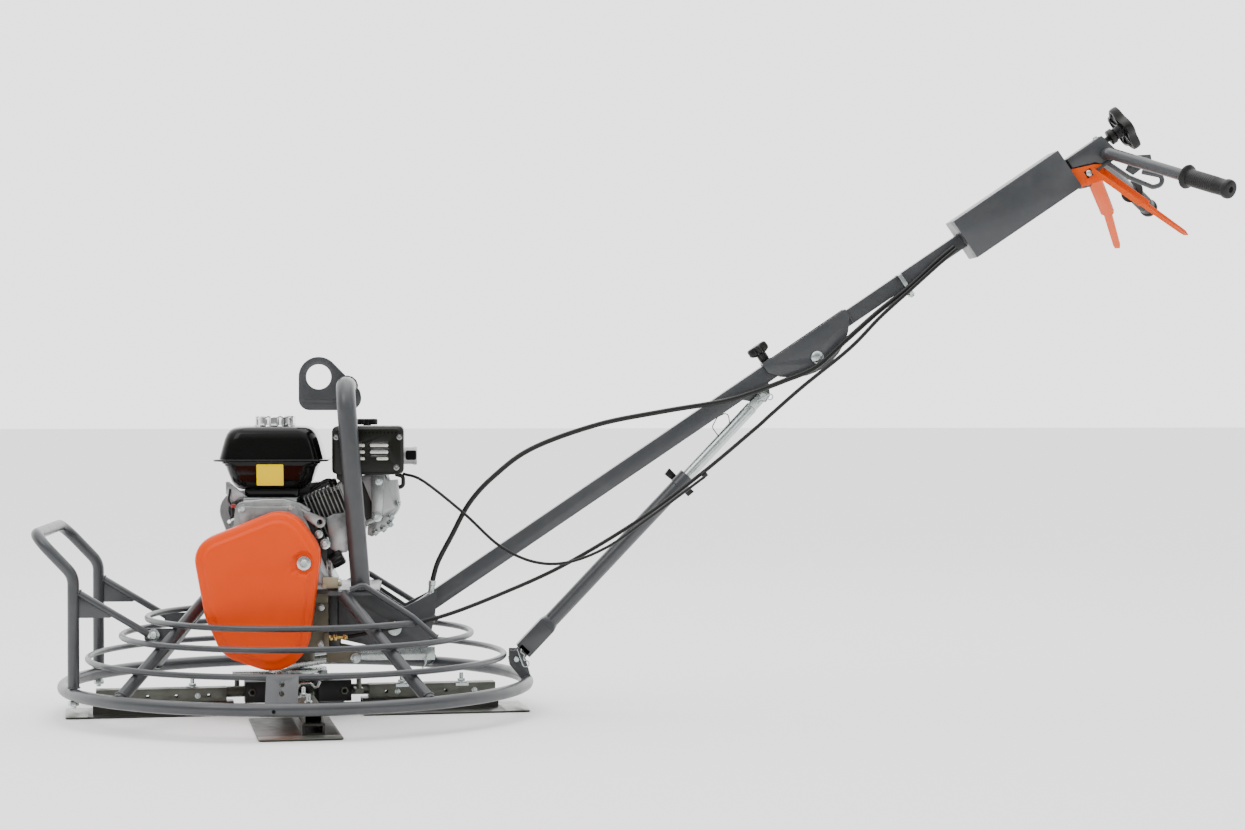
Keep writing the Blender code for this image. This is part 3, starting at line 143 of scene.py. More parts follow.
def surface(name, colour, roughness, metallic=0.0, mottle=0.08, mottle_scale=14.0, grain=0.0,
            grain_scale=900.0, coat=0.0, shine=1.0, soil=None, stretch=(1, 1, 1), edge=0.0005):
    """A finished surface: mottled colour, uneven gloss, fine grain, dirt and soft edges."""
    made = bpy.data.materials.new(name)
    made.use_nodes = True
    tree = made.node_tree
    shader = tree.nodes["Principled BSDF"]
    shader.inputs["Metallic"].default_value = metallic
    shader.inputs["Specular IOR Level"].default_value = 0.5 * shine
    if coat:
        shader.inputs["Coat Weight"].default_value = coat
        shader.inputs["Coat Roughness"].default_value = 0.06
    where = tree.nodes.new("ShaderNodeTexCoord").outputs["Object"]
    place = shade_node(tree, "ShaderNodeMapping", Vector=where, Scale=stretch).outputs["Vector"]
    share = noise_between(tree, place, mottle_scale, 0.0, 1.0)
    paint = blend_colour(tree, share, scaled(colour, 1 - mottle), scaled(colour, 1 + mottle))
    if soil:
        soil_colour, soil_share, soil_scale = soil
        dust = noise_between(tree, place, soil_scale, 0.0, soil_share, 8.0, (0.48, 0.72))
        paint = blend_colour(tree, dust, paint, soil_colour)
    tree.links.new(paint, shader.inputs["Base Color"])
    gloss = noise_between(tree, place, mottle_scale * 2.3, roughness * 0.86, min(1.0, roughness * 1.16))
    tree.links.new(gloss, shader.inputs["Roughness"])
    soft_edge = tree.nodes.new("ShaderNodeBevel")
    soft_edge.samples = 4
    soft_edge.inputs["Radius"].default_value = edge
    normal = soft_edge.outputs["Normal"]
    if grain:
        relief = shade_node(tree, "ShaderNodeTexNoise", Vector=place, Scale=grain_scale, Detail=3.0)
        bump = shade_node(tree, "ShaderNodeBump", Height=relief.outputs["Fac"], Normal=normal,
                          Distance=grain, Strength=0.3)
        normal = bump.outputs["Normal"]
    tree.links.new(normal, shader.inputs["Normal"])
    LOOKS[name] = made
    return made


DUST = (0.30, 0.29, 0.26)
surface("powder_grey", (0.036, 0.039, 0.043), 0.36, mottle=0.08, grain=0.00007, coat=0.12,
        soil=(scaled(DUST, 0.4), 0.10, 26))
surface("orange_gloss", (0.74, 0.058, 0.0005), 0.36, mottle=0.03, grain=0.00003, grain_scale=600, shine=0.3)
surface("orange_lever", (0.66, 0.075, 0.001), 0.40, mottle=0.06, grain=0.00005, shine=0.4)
surface("tank_black", (0.0035, 0.0035, 0.0032), 0.13, mottle=0.2, grain=0.00002, grain_scale=300, shine=0.35)
surface("guard_black", (0.0075, 0.0075, 0.0055), 0.30, mottle=0.2, grain=0.00006, shine=0.4)
surface("cast_black", (0.0065, 0.0065, 0.006), 0.36, mottle=0.3, grain=0.0004, grain_scale=420, shine=0.5,
        soil=(scaled(DUST, 0.25), 0.15, 30))
surface("chrome", (0.80, 0.80, 0.81), 0.09, 1.0, mottle=0.03)
surface("cast_alloy", (0.36, 0.37, 0.37), 0.36, 0.85, mottle=0.12, grain=0.0005, grain_scale=500,
        soil=((0.03, 0.03, 0.028), 0.55, 34))
surface("fin_alloy", (0.34, 0.345, 0.335), 0.40, 0.8, mottle=0.15, grain=0.0004, grain_scale=500,
        soil=((0.02, 0.02, 0.018), 0.55, 36))
surface("silver_paint", (0.36, 0.365, 0.37), 0.38, 0.35, mottle=0.06, grain=0.00008,
        soil=(scaled(DUST, 0.4), 0.16, 22))
surface("louvre_light", (0.62, 0.60, 0.54), 0.30, 0.6, mottle=0.10, mottle_scale=60)
surface("zinc_bright", (0.48, 0.53, 0.52), 0.27, 0.9, mottle=0.10, mottle_scale=40, grain=0.00004)
surface("plated_dull", (0.105, 0.112, 0.092), 0.38, 0.55, mottle=0.16, mottle_scale=30, grain=0.00008,
        soil=((0.05, 0.048, 0.04), 0.3, 50))
surface("blade_dark", (0.022, 0.022, 0.018), 0.34, 0.4, mottle=0.25, mottle_scale=20, grain=0.0001,
        grain_scale=350, soil=((0.10, 0.10, 0.085), 0.30, 18), stretch=(1, 1, 6))
surface("blade_bare", (0.20, 0.215, 0.185), 0.34, 0.75, mottle=0.12, mottle_scale=60, grain=0.00006,
        stretch=(1, 1, 8))
surface("machined", (0.22, 0.22, 0.22), 0.25, 1.0, mottle=0.08, mottle_scale=60, grain=0.00004)
surface("bronze", (0.50, 0.30, 0.12), 0.32, 1.0, mottle=0.10, mottle_scale=50, grain=0.00004)
surface("brass", (0.62, 0.43, 0.16), 0.24, 1.0, mottle=0.06, mottle_scale=60)
surface("gearbox_olive", (0.150, 0.135, 0.088), 0.50, 0.1, mottle=0.16, grain=0.0004, grain_scale=420,
        soil=((0.05, 0.045, 0.035), 0.35, 30))
surface("ivory", (0.45, 0.44, 0.29), 0.45, mottle=0.06, grain=0.00006)
surface("rubber_black", (0.006, 0.006, 0.006), 0.46, mottle=0.2, grain=0.00012, grain_scale=1100, shine=0.6)
surface("plastic_black", (0.0065, 0.0065, 0.006), 0.34, mottle=0.2, grain=0.00008, grain_scale=1200, shine=0.6)
surface("cable_sheath", (0.0055, 0.0055, 0.005), 0.34, mottle=0.2, grain=0.00004, shine=0.6)
surface("label_yellow", (0.82, 0.60, 0.0005), 0.50, mottle=0.02, shine=0.2)
surface("red_plastic", (0.34, 0.008, 0.006), 0.35, mottle=0.08)
# Near-black painted shade: dark discs and plates laid where holes and bores are, for the shade inside them.
surface("painted_hole_shade", (0.003, 0.003, 0.003), 0.8, mottle=0.3, shine=0.2)
# Dark painted shade: the core between the fins and patches in the engine's recesses, darker than the alloy round them.
surface("painted_shade_dark", (0.028, 0.028, 0.026), 0.5, 0.5, mottle=0.3, grain=0.0004, grain_scale=400)


# ---------------------------------------------------------------- shapes
def loft(loops, closed=False):
    """A shape through loops of equal point counts, capped unless it closes on itself."""
    shape = bmesh.new()
    rings = [[shape.verts.new(point) for point in loop] for loop in loops]
    pairs = list(zip(rings, rings[1:]))
    if closed:
        pairs.append((rings[-1], rings[0]))
    for first, second in pairs:
        count = len(first)
        for index in range(count):
            follow = (index + 1) % count
            shape.faces.new((first[index], first[follow], second[follow], second[index]))
    if not closed:
        shape.faces.new(rings[0])
        shape.faces.new(rings[-1])
    bmesh.ops.recalc_face_normals(shape, faces=shape.faces)
    return shape


def frame_of(direction, up=UP):
    """Two unit vectors across a direction; the second leans towards up."""
    along = Vector(direction).normalized()
    across = along.cross(Vector(up))
    if across.length < 1e-4:
        across = along.cross(SIDE)
    across.normalize()
    return across, across.cross(along)


def circle(centre, across, upward, radius, sides):
    """Points of a circle in the plane of two unit vectors."""
    step = 2 * math.pi / sides
    return [Vector(centre) + radius * (math.cos(step * k) * across + math.sin(step * k) * upward)
            for k in range(sides)]


def turned(profile, centre, axis, sides=40):
    """A solid turned about an axis from (distance along, radius) pairs."""
    along = Vector(axis).normalized()
    across, upward = frame_of(along)
    return loft([circle(Vector(centre) + distance * along, across, upward, radius, sides)
                 for distance, radius in profile])


def rod(start, end, radius, sides=24, chamfer=0.0):
    """A round bar with optional chamfered ends."""
    start, end = Vector(start), Vector(end)
    length = (end - start).length
    profile = [(0, radius - chamfer), (chamfer, radius), (length - chamfer, radius), (length, radius - chamfer)]
    if not chamfer:
        profile = [(0, radius), (length, radius)]
    return turned(profile, start, end - start, sides)


def block(low, high):
    """A box between two corners."""
    x0, y0, z0 = low
    x1, y1, z1 = high
    floor = [(x0, y0), (x1, y0), (x1, y1), (x0, y1)]
    return loft([[(x, y, z0) for x, y in floor], [(x, y, z1) for x, y in floor]])


def bar(start, end, width, height, up=UP):
    """A rectangular bar; width is across, height leans towards up."""
    across, upward = frame_of(Vector(end) - Vector(start), up)
    corners = [(-1, -1), (1, -1), (1, 1), (-1, 1)]
    return loft([[Vector(centre) + a * width / 2 * across + b * height / 2 * upward for a, b in corners]
                 for centre in (start, end)])


def rounded(corners, radius, steps=8):
    """A path through corners with each inner corner replaced by an arc."""
    corners = [Vector(corner) for corner in corners]
    path = [corners[0]]
    for before, corner, after in zip(corners, corners[1:], corners[2:]):
        back = (before - corner).normalized()
        ahead = (after - corner).normalized()
        half = back.angle(ahead) / 2
        reach = radius / math.tan(half)
        centre = corner + (back + ahead).normalized() * radius / math.sin(half)
        first = (corner + back * reach - centre).normalized()
        last = (corner + ahead * reach - centre).normalized()
        for step in range(steps + 1):
            path.append(centre + first.slerp(last, step / steps) * radius)
    path.append(corners[-1])
    return path


def pipe(path, radius, sides=20, closed=False):
    """A round tube swept along a path without twisting; radius may be a list."""
    path = [Vector(point) for point in path]
    count = len(path)
    loops = []
    upward = None
    for index, point in enumerate(path):
        before = path[index - 1] if index or closed else point
        after = path[(index + 1) % count] if index < count - 1 or closed else point
        along = (after - before).normalized()
        if upward is None:
            across, upward = frame_of(along)
        across = along.cross(upward).normalized()
        upward = across.cross(along).normalized()
        size = radius[index] if isinstance(radius, list) else radius
        loops.append(circle(point, across, upward, size, sides))
    return loft(loops, closed)


def hoop(radius, height, tube, steps=160, sides=20, centre=(0, 0)):
    """A closed round ring about an upright axis."""
    angles = [2 * math.pi * k / steps for k in range(steps)]
    path = [(centre[0] + radius * math.cos(a), centre[1] + radius * math.sin(a), height) for a in angles]
    return pipe(path, tube, sides, closed=True)


def slab(outline, near, far):
    """An upright plate: an outline of (x, z) points between two y values."""
    return loft([[(x, near, z) for x, z in outline], [(x, far, z) for x, z in outline]])


def turn_of(first, second, third):
    """Positive where three (x, z) points turn left."""
    return ((second[0] - first[0]) * (third[1] - first[1])
            - (second[1] - first[1]) * (third[0] - first[0]))


def convex_outline(circles, step_degrees=5):
    """The outline that a string pulled round some circles (x, z, radius) takes."""
    points = []
    for x, z, radius in circles:
        for k in range(0, 360, step_degrees):
            angle = math.radians(k)
            points.append((x + radius * math.cos(angle), z + radius * math.sin(angle)))
    points.sort()

    def half(ordered):
        chain = []
        for point in ordered:
            while len(chain) > 1 and turn_of(chain[-2], chain[-1], point) <= 1e-9:
                chain.pop()
            chain.append(point)
        return chain[:-1]

    return half(points) + half(points[::-1])


def rounded_rectangle(low, high, radius, steps=8):
    """Corner arcs of a rectangle between two (a, b) corners, as (a, b) points."""
    points = []
    centres = [(high[0] - radius, high[1] - radius, 0), (low[0] + radius, high[1] - radius, 90),
               (low[0] + radius, low[1] + radius, 180), (high[0] - radius, low[1] + radius, 270)]
    for a, b, start in centres:
        for k in range(steps + 1):
            angle = math.radians(start + 90 * k / steps)
            points.append((a + radius * math.cos(angle), b + radius * math.sin(angle)))
    return points


def on_handle(along, above, side=0.0):
    """A point along the handle from its foot, above its centreline, and to the side."""
    return FOOT + along * ALONG + above * ABOVE + side * SIDE


def handle_plate(outline, near, far):
    """A plate in the handle's plane from (along, above) points."""
    return loft([[on_handle(s, n, y) for s, n in outline] for y in (near, far)])


def hexagon(centre, axis, radius, height):
    """A chamfered hexagon head or nut."""
    return turned([(0, radius * 0.94), (height * 0.12, radius), (height * 0.85, radius),
                   (height, radius * 0.86)], centre, axis, 6)


def bolt(centre, axis, radius, hexed=True):
    """A washer with a bolt head on it, standing out along axis from centre."""
    centre, out = Vector(centre), Vector(axis).normalized()
    washer = turned([(0, radius * 1.7), (radius * 0.22, radius * 1.7), (radius * 0.26, radius * 1.6)],
                    centre, out, 28)
    start = centre + out * radius * 0.24
    if hexed:
        return [washer, hexagon(start, out, radius, radius * 0.8)]
    return [washer, turned([(0, radius), (radius * 0.6, radius), (radius * 0.8, radius * 0.8),
                            (radius * 0.78, radius * 0.45), (radius * 0.45, radius * 0.42)], start, out, 28)]


def bead(centre, axis, radius, thickness=0.0016):
    """An uneven weld bead round a tube where it meets another piece."""
    across, upward = frame_of(axis)
    loops = []
    for k in range(40):
        angle = 2 * math.pi * k / 40
        out = math.cos(angle) * across + math.sin(angle) * upward
        ripple = thickness * (1 + 0.18 * math.sin(13 * angle))
        loops.append(circle(Vector(centre) + out * radius, out, Vector(axis).normalized(), ripple, 8))
    return loft(loops, closed=True)


# ---------------------------------------------------------------- pieces
def bevel_sharp(shape, width, over_degrees=40):
    """Round the sharp edges of a shape with real faces."""
    sharp = [edge for edge in shape.edges
             if len(edge.link_faces) == 2 and edge.calc_face_angle(0) > math.radians(over_degrees)]
    if sharp and width:
        bmesh.ops.bevel(shape, geom=sharp, offset=width, offset_type="OFFSET", segments=2,
                        profile=0.5, affect="EDGES", clamp_overlap=True)


def place(name, mesh, look, body, slot, stands_for):
    """Put a finished mesh in the scene on its body."""
    made = bpy.data.objects.new(name, mesh)
    bpy.context.scene.collection.objects.link(made)
    mesh.materials.clear()
    mesh.materials.append(LOOKS[look])
    mesh.shade_smooth()
    mesh.set_sharp_from_angle(angle=math.radians(38))
    if stands_for:
        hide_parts(*stands_for)
    if body:
        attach(made, body)
    return made


def piece(name, shapes, look, body, slot, stands_for=(), bevel=0.0, over_degrees=40):
    """Join shapes laid out about the rotor into one finished piece."""
    whole = bmesh.new()
    for shape in shapes:
        bevel_sharp(shape, bevel, over_degrees)
        scratch = bpy.data.meshes.new("scratch")
        shape.to_mesh(scratch)
        shape.free()
        whole.from_mesh(scratch)
        bpy.data.meshes.remove(scratch)
    bmesh.ops.translate(whole, verts=whole.verts, vec=ROTOR)
    mesh = bpy.data.meshes.new(name)
    whole.to_mesh(mesh)
    whole.free()
    return place(name, mesh, look, body, slot, stands_for)


def cad_shape(node, drop=None):
    """A node's own solid with its flat faces whole again; drop says which vertices go."""
    shape = bmesh.new()
    shape.from_mesh(NODES[node].data)
    bmesh.ops.remove_doubles(shape, verts=shape.verts, dist=2e-6)
    if drop:
        gone = [face for face in shape.faces if all(drop(v.co - ROTOR) for v in face.verts)]
        bmesh.ops.delete(shape, geom=gone, context="FACES")
    bmesh.ops.dissolve_limit(shape, angle_limit=math.radians(0.5), verts=shape.verts, edges=shape.edges)
    return shape


def finished(node, look, bevel=0.0006, extra=(), drop=None, over_degrees=40):
    """The node's shape with rounded edges, in place of the plain node."""
    body = NODES[node]["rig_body"]
    slot = SLOT_OF[node]
    shape = cad_shape(node, drop)
    bmesh.ops.translate(shape, verts=shape.verts, vec=-ROTOR)
    return piece(node + "_finished", [shape, *extra], look, body, slot, [node], bevel, over_degrees)


SLOT_OF = {entry["node"]: entry["material_slot"] for entry in frame["record"]["subparts"]}


# ---------------------------------------------------------------- guard and frame
LEG_TOPS = {"left": Vector((-0.165, 0.090, 0.245)), "right": Vector((0.098, 0.152, 0.246))}
LEG_AZIMUTHS = {"left": math.radians(134), "right": math.radians(54)}


def in_ring_tube(point):
    """True inside the outer ring's tube."""
    out = math.hypot(point.x, point.y) - RING_RADIUS
    return math.hypot(out, point.z - RING_HEIGHT) < RING_TUBE + 0.0006


def make_guard():
    """Guard rings drawn fine, with the weld beads that hold them to the legs."""
    ring = hoop(RING_RADIUS, RING_HEIGHT, RING_TUBE, 220, 28)
    finished("guard_outer_ring", "powder_grey", 0.0006, [ring], in_ring_tube)
    # The drain hole is a dark disc of painted shade.
    piece("ring_drain_hole", [rod((-0.018, -0.4731, 0.056), (-0.018, -0.4700, 0.056), 0.0036)],
          "painted_hole_shade", "machine_base", "grey_paint")
    for name in ("lower", "middle"):
        low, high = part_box("guard_ring_" + name)
        height = (low.z + high.z) / 2
        radius = (high.y - low.y) / 2 - ROD
        piece(f"guard_ring_{name}_finished", [hoop(radius, height, ROD, 200, 18)], "powder_grey",
              "machine_base", "grey_paint", ["guard_ring_" + name])
    stays = []
    for hand in (-1, 1):
        end = Vector((0.2866, hand * 0.1965, 0.157))
        shoulder = Vector((0.233, hand * 0.184, 0.203))
        end += (shoulder - end).normalized() * 2 * ROD
        stays.append(pipe(rounded([(0.112, hand * 0.1705, 0.2560), (0.135, hand * 0.172, 0.2660),
                                   shoulder, end], 0.012), ROD, 18))
        stays.append(bead(end, shoulder - end, ROD + 0.0006, 0.0013))
    reach = math.radians(38.2)
    steps = 140
    sweep = [reach + (2 * math.pi - 2 * reach) * k / steps for k in range(steps + 1)]
    arc = pipe([(0.297 * math.cos(a), 0.297 * math.sin(a), 0.192) for a in sweep], ROD, 18)
    piece("guard_ring_top_finished", [arc, *stays], "powder_grey", "machine_base", "grey_paint",
          ["guard_ring_top"])


def make_base():
    """Engine plate, cheeks and legs, with beads where the legs meet the ring."""
    beads = []
    for side, top in LEG_TOPS.items():
        for hand in (-1, 1):
            start = Vector((top.x, top.y * hand, top.z))
            azimuth = LEG_AZIMUTHS[side] * hand
            foot = Vector((RING_RADIUS * math.cos(azimuth), RING_RADIUS * math.sin(azimuth), RING_HEIGHT))
            line = (start - foot).normalized()
            beads.append(bead(foot + line * 0.0155, line, 0.0128, 0.0020))
    web = [slab([(0.0650, 0.1300), (0.0850, 0.1300), (0.0850, 0.2430), (0.0650, 0.2430)], hand * 0.0480, hand * 0.0510)
           for hand in (-1, 1)]
    finished("base_frame", "powder_grey", 0.0008, [*beads, *web])


def make_carry_handle():
    """Front carry handle, one bent tube with two braces and gussets."""
    corners = []
    half_width = 0.190
    for hand in (-1, 1):
        run = [(-0.4195, hand * half_width, RING_HEIGHT + RING_TUBE + 0.0006),
               (-0.4195, hand * half_width, 0.288), (-0.494, hand * half_width, 0.3665)]
        corners += run if hand < 0 else run[::-1]
    shapes = [pipe(rounded(corners, 0.042, 12), 0.0115, 24)]
    for hand in (-1, 1):
        y = hand * half_width
        top = Vector((-0.4195, y, 0.260))
        end = Vector((-0.276, y, 0.1735))
        shapes.append(rod(top, end, 0.0070))
        shapes.append(bead(top + (end - top).normalized() * 0.0125, end - top, 0.0074))
        shapes.append(bead((-0.4195, y, RING_HEIGHT + RING_TUBE + 0.0010), UP, 0.0118))
        flat = rounded_rectangle((-0.284, 0.161), (-0.262, 0.181), 0.005, 4)
        shapes.append(slab(flat, hand * 0.1870, hand * 0.1925))
        shapes.append(slab([(-0.412, 0.252), (-0.412, 0.206), (-0.350, 0.206), (-0.336, 0.214)],
                           y - 0.002, y + 0.002))
    piece("carry_handle_finished", shapes, "powder_grey", "machine_base", "grey_paint", ["carry_handle"],
          0.0005)
    fixings = []
    for hand in (-1, 1):
        fixings += bolt((-0.266, hand * 0.1926, 0.1725), (0, hand, 0), 0.0068, False)
        y = hand * half_width
        fixings.append(hexagon((-0.4195, y, RING_HEIGHT - RING_TUBE - 0.0005), (0, 0, -1), 0.0105, 0.009))
        fixings.append(rod((-0.4195, y, 0.045), (-0.4195, y, 0.031), 0.005, 16, 0.001))
    piece("guard_fixings", fixings, "zinc_bright", "machine_base", "zinc")


def make_lifting_frame():
    """Lifting post with its eye plate."""
    path = rounded([(0.131, -0.134, 0.2540), (0.100, -0.134, 0.652), (0.100, -0.001, 0.652)], 0.050, 16)
    post = pipe(path, 0.019, 32)
    eye = (0.043, 0.671)
    outline = convex_outline([(*eye, 0.040), (0.106, 0.634, 0.021), (0.025, 0.626, 0.022),
                              (0.104, 0.628, 0.024)])
    hole = [(eye[0] + 0.025 * math.cos(2 * math.pi * k / 72), eye[1] + 0.025 * math.sin(2 * math.pi * k / 72))
            for k in range(72)]
    ring = holed_plate(outline, hole, eye, -0.0055, 0.0045)
    lip = bar((0.012, -0.0075, 0.622), (0.112, -0.0075, 0.622), 0.006, 0.006)
    beads = [bead((0.100, -0.0055, 0.652), SIDE, 0.0195, 0.0022),
             bead((0.1308, -0.134, 0.2545), UP, 0.0195, 0.0022)]
    piece("lifting_frame_finished", [post, ring, lip, *beads], "powder_grey", "machine_base", "grey_paint",
          ["lifting_frame"], 0.0007, 60)


def holed_plate(outline, hole, centre, near, far):
    """A plate with one hole: each outline point is joined to the hole along its own ray."""
    count = 144
    loops = []

    def ray(points, angle):
        """How far from centre an outline lies at an angle."""
        dx, dz = math.cos(angle), math.sin(angle)
        for (x0, z0), (x1, z1) in zip(points, points[1:] + points[:1]):
            ax, az, bx, bz = x0 - centre[0], z0 - centre[1], x1 - x0, z1 - z0
            bottom = dx * bz - dz * bx
            if abs(bottom) < 1e-12:
                continue
            reach = (ax * bz - az * bx) / bottom
            share = (ax * dz - az * dx) / bottom
            if reach > 0 and -1e-9 <= share <= 1 + 1e-9:
                return reach
        return 0.0

    for k in range(count):
        angle = 2 * math.pi * k / count
        inner, outer = ray(hole, angle), ray(outline, angle)
        unit = (math.cos(angle), math.sin(angle))
        loops.append([(centre[0] + unit[0] * reach, y, centre[1] + unit[1] * reach)
                      for reach, y in ((inner, near), (outer, near), (outer, far), (inner, far))])
    return loft(loops, closed=True)


# ---------------------------------------------------------------- drive and engine
def make_drive():
    """Gearbox, worm drive, pulleys and belt, with their screws and the grease fitting."""
    screws = []
    for x in (-0.070, -0.010, 0.050):
        for hand in (-1, 1):
            screws += bolt((x, hand * 0.0702, 0.2140), (0, hand, 0), 0.0042)
            screws += bolt((x, hand * 0.0702, 0.142), (0, hand, 0), 0.0042)
    for hand in (-1, 1):
        screws += bolt((0.118, hand * 0.0640, 0.112), (0, hand, 0), 0.0060)
    piece("gearbox_screws", screws, "zinc_bright", "machine_base", "zinc")
    ribs = [block((x - 0.002, -0.0730, 0.150), (x + 0.002, -0.0695, 0.206)) for x in (-0.040, 0.020)]
    finished("gearbox_housing", "gearbox_olive", 0.0020, ribs)
    finished("gearbox_lid", "gearbox_olive", 0.0015)
    finished("worm_shaft", "machined", 0.0003)
    finished("output_shaft", "machined", 0.0006)
    finished("worm_wheel", "bronze", 0.0004)
    finished("driven_pulley", "cast_alloy", 0.0005)
    finished("clutch_pulley", "machined", 0.0005)
    finished("v_belt", "rubber_black", 0.0004)
    fitting = [hexagon((0.074, -0.0775, 0.1548), (1, 0, 0.05), 0.0068, 0.008),
               rod((0.082, -0.0776, 0.1552), (0.1035, -0.0779, 0.1560), 0.0042, 20, 0.0008),
               hexagon((0.094, -0.0778, 0.1556), (1, 0, 0.05), 0.0058, 0.006),
               hexagon((0.064, -0.078, 0.1545), (1, 0, 0), 0.0058, 0.010)]
    piece("grease_fitting", fitting, "brass", "machine_base", "bronze")
    lug = [block((0.056, -0.084, 0.138), (0.066, -0.070, 0.164))]
    piece("fitting_lug", lug, "gearbox_olive", "machine_base", "gearbox_paint", (), 0.0015)


COVER_CIRCLES = [(-0.027, 0.3485, 0.0600), (-0.010, 0.3180, 0.0635), (-0.1375, 0.3160, 0.0495),
                 (-0.109, 0.2250, 0.0615), (-0.090, 0.1780, 0.0600), (-0.040, 0.1760, 0.0745)]
COVER_BACK = -0.128
COVER_FRONT = -0.205
COVER_BOLT = (0.023, 0.310)
BOLT_DISH = 0.026


def shrink_outline(outline, amount, smooth=6):
    """An outline moved inwards along its own smoothed normals."""
    count = len(outline)
    moved = []
    for index in range(count):
        before = outline[index - smooth]
        after = outline[(index + smooth) % count]
        run = Vector((after[0] - before[0], after[1] - before[1])).normalized()
        moved.append((outline[index][0] - run.y * amount, outline[index][1] + run.x * amount))
    return moved


def even_outline(outline, count):
    """The same outline with evenly spaced points."""
    points = [Vector(point) for point in outline]
    lengths = [0.0]
    for first, second in zip(points, points[1:] + points[:1]):
        lengths.append(lengths[-1] + (second - first).length)
    spaced = []
    index = 0
    for k in range(count):
        target = lengths[-1] * k / count
        while lengths[index + 1] < target:
            index += 1
        share = (target - lengths[index]) / (lengths[index + 1] - lengths[index])
        point = points[index].lerp(points[(index + 1) % len(points)], share)
        spaced.append((point.x, point.y))
    return spaced


def make_belt_cover():
    """Moulded orange cover: rolled rim, raised middle panel, bolt dish and a dimple."""
    outline = even_outline(convex_outline(COVER_CIRCLES), 160)
    levels = [(COVER_BACK, 0.0), (COVER_FRONT + 0.016, 0.0), (COVER_FRONT + 0.0125, 0.0010),
              (COVER_FRONT + 0.0090, 0.0030), (COVER_FRONT + 0.0072, 0.0060), (COVER_FRONT + 0.0060, 0.0130),
              (COVER_FRONT + 0.0052, 0.0155), (COVER_FRONT + 0.0012, 0.0185), (COVER_FRONT + 0.0003, 0.0205),
              (COVER_FRONT, 0.0240), (COVER_FRONT, 0.0340)]
    loops = [[(x, depth, z) for x, z in shrink_outline(outline, inset)] for depth, inset in levels]
    skin = bmesh.new()
    rings = [[skin.verts.new(point) for point in loop] for loop in loops]
    for first, second in zip(rings, rings[1:]):
        for index in range(len(first)):
            follow = (index + 1) % len(first)
            skin.faces.new((first[index], first[follow], second[follow], second[index]))
    centre = skin.verts.new((-0.070, COVER_FRONT, 0.268))
    inner = rings[-1]
    steps = 9
    previous = inner
    for step in range(1, steps):
        share = step / steps
        ring = [skin.verts.new(v.co.lerp(centre.co, share)) for v in inner]
        for index in range(len(inner)):
            follow = (index + 1) % len(inner)
            skin.faces.new((previous[index], previous[follow], ring[follow], ring[index]))
        previous = ring
    for index in range(len(inner)):
        skin.faces.new((previous[index], previous[(index + 1) % len(inner)], centre))
    sunk = Vector((COVER_BOLT[0], COVER_BOLT[1]))
    for vertex in skin.verts:
        if vertex.co.y > COVER_FRONT + 0.015:
            continue
        spot = Vector((vertex.co.x, vertex.co.z))
        away = (spot - sunk).length
        if away < BOLT_DISH:
            edge = min(1.0, max(0.0, (BOLT_DISH - away) / 0.007))
            vertex.co.y = max(vertex.co.y, COVER_FRONT + 0.0085 * edge * edge * (3 - 2 * edge))
    bmesh.ops.subdivide_edges(skin, edges=[e for e in skin.edges if (e.verts[0].co - Vector(
        (COVER_BOLT[0], COVER_FRONT, COVER_BOLT[1]))).length < 0.04], cuts=1, use_grid_fill=True)
    bmesh.ops.recalc_face_normals(skin, faces=skin.faces)
    bmesh.ops.solidify(skin, geom=skin.faces[:], thickness=0.0022)
    dimple = turned([(0, 0.0001), (0.0004, 0.0020), (0.0016, 0.0030), (0.0024, 0.0032)],
                    (-0.056, COVER_FRONT - 0.0012, 0.259), SIDE, 24)
    lip = bead((COVER_BOLT[0], COVER_FRONT + 0.0080, COVER_BOLT[1]), SIDE, 0.0175, 0.0012)
    piece("belt_cover_finished", [skin, dimple, lip], "orange_gloss", "machine_base", "orange_paint",
          ["belt_cover"])
    head = bolt((COVER_BOLT[0], COVER_FRONT + 0.0080, COVER_BOLT[1]), (0, -1, 0), 0.0080, False)
    piece("belt_cover_bolt", head, "zinc_bright", "machine_base", "zinc")


CYLINDER_TILT = math.radians(22)
CRANK = Vector((-0.045, 0, 0.352))


def along_cylinder(distance, across, side):
    """A point from the crank: along the cylinder, across it, and to the side."""
    cosine, sine = math.cos(CYLINDER_TILT), math.sin(CYLINDER_TILT)
    return CRANK + Vector((distance * cosine - across * sine, side, distance * sine + across * cosine))


def cylinder_slab(start, end, half, near, far, corner=0.006):
    """A plate with rounded corners square to the cylinder."""
    outline = rounded_rectangle((-half, near), (half, far), corner, 5)
    return loft([[along_cylinder(s, a, y) for a, y in outline] for s in (start, end)])


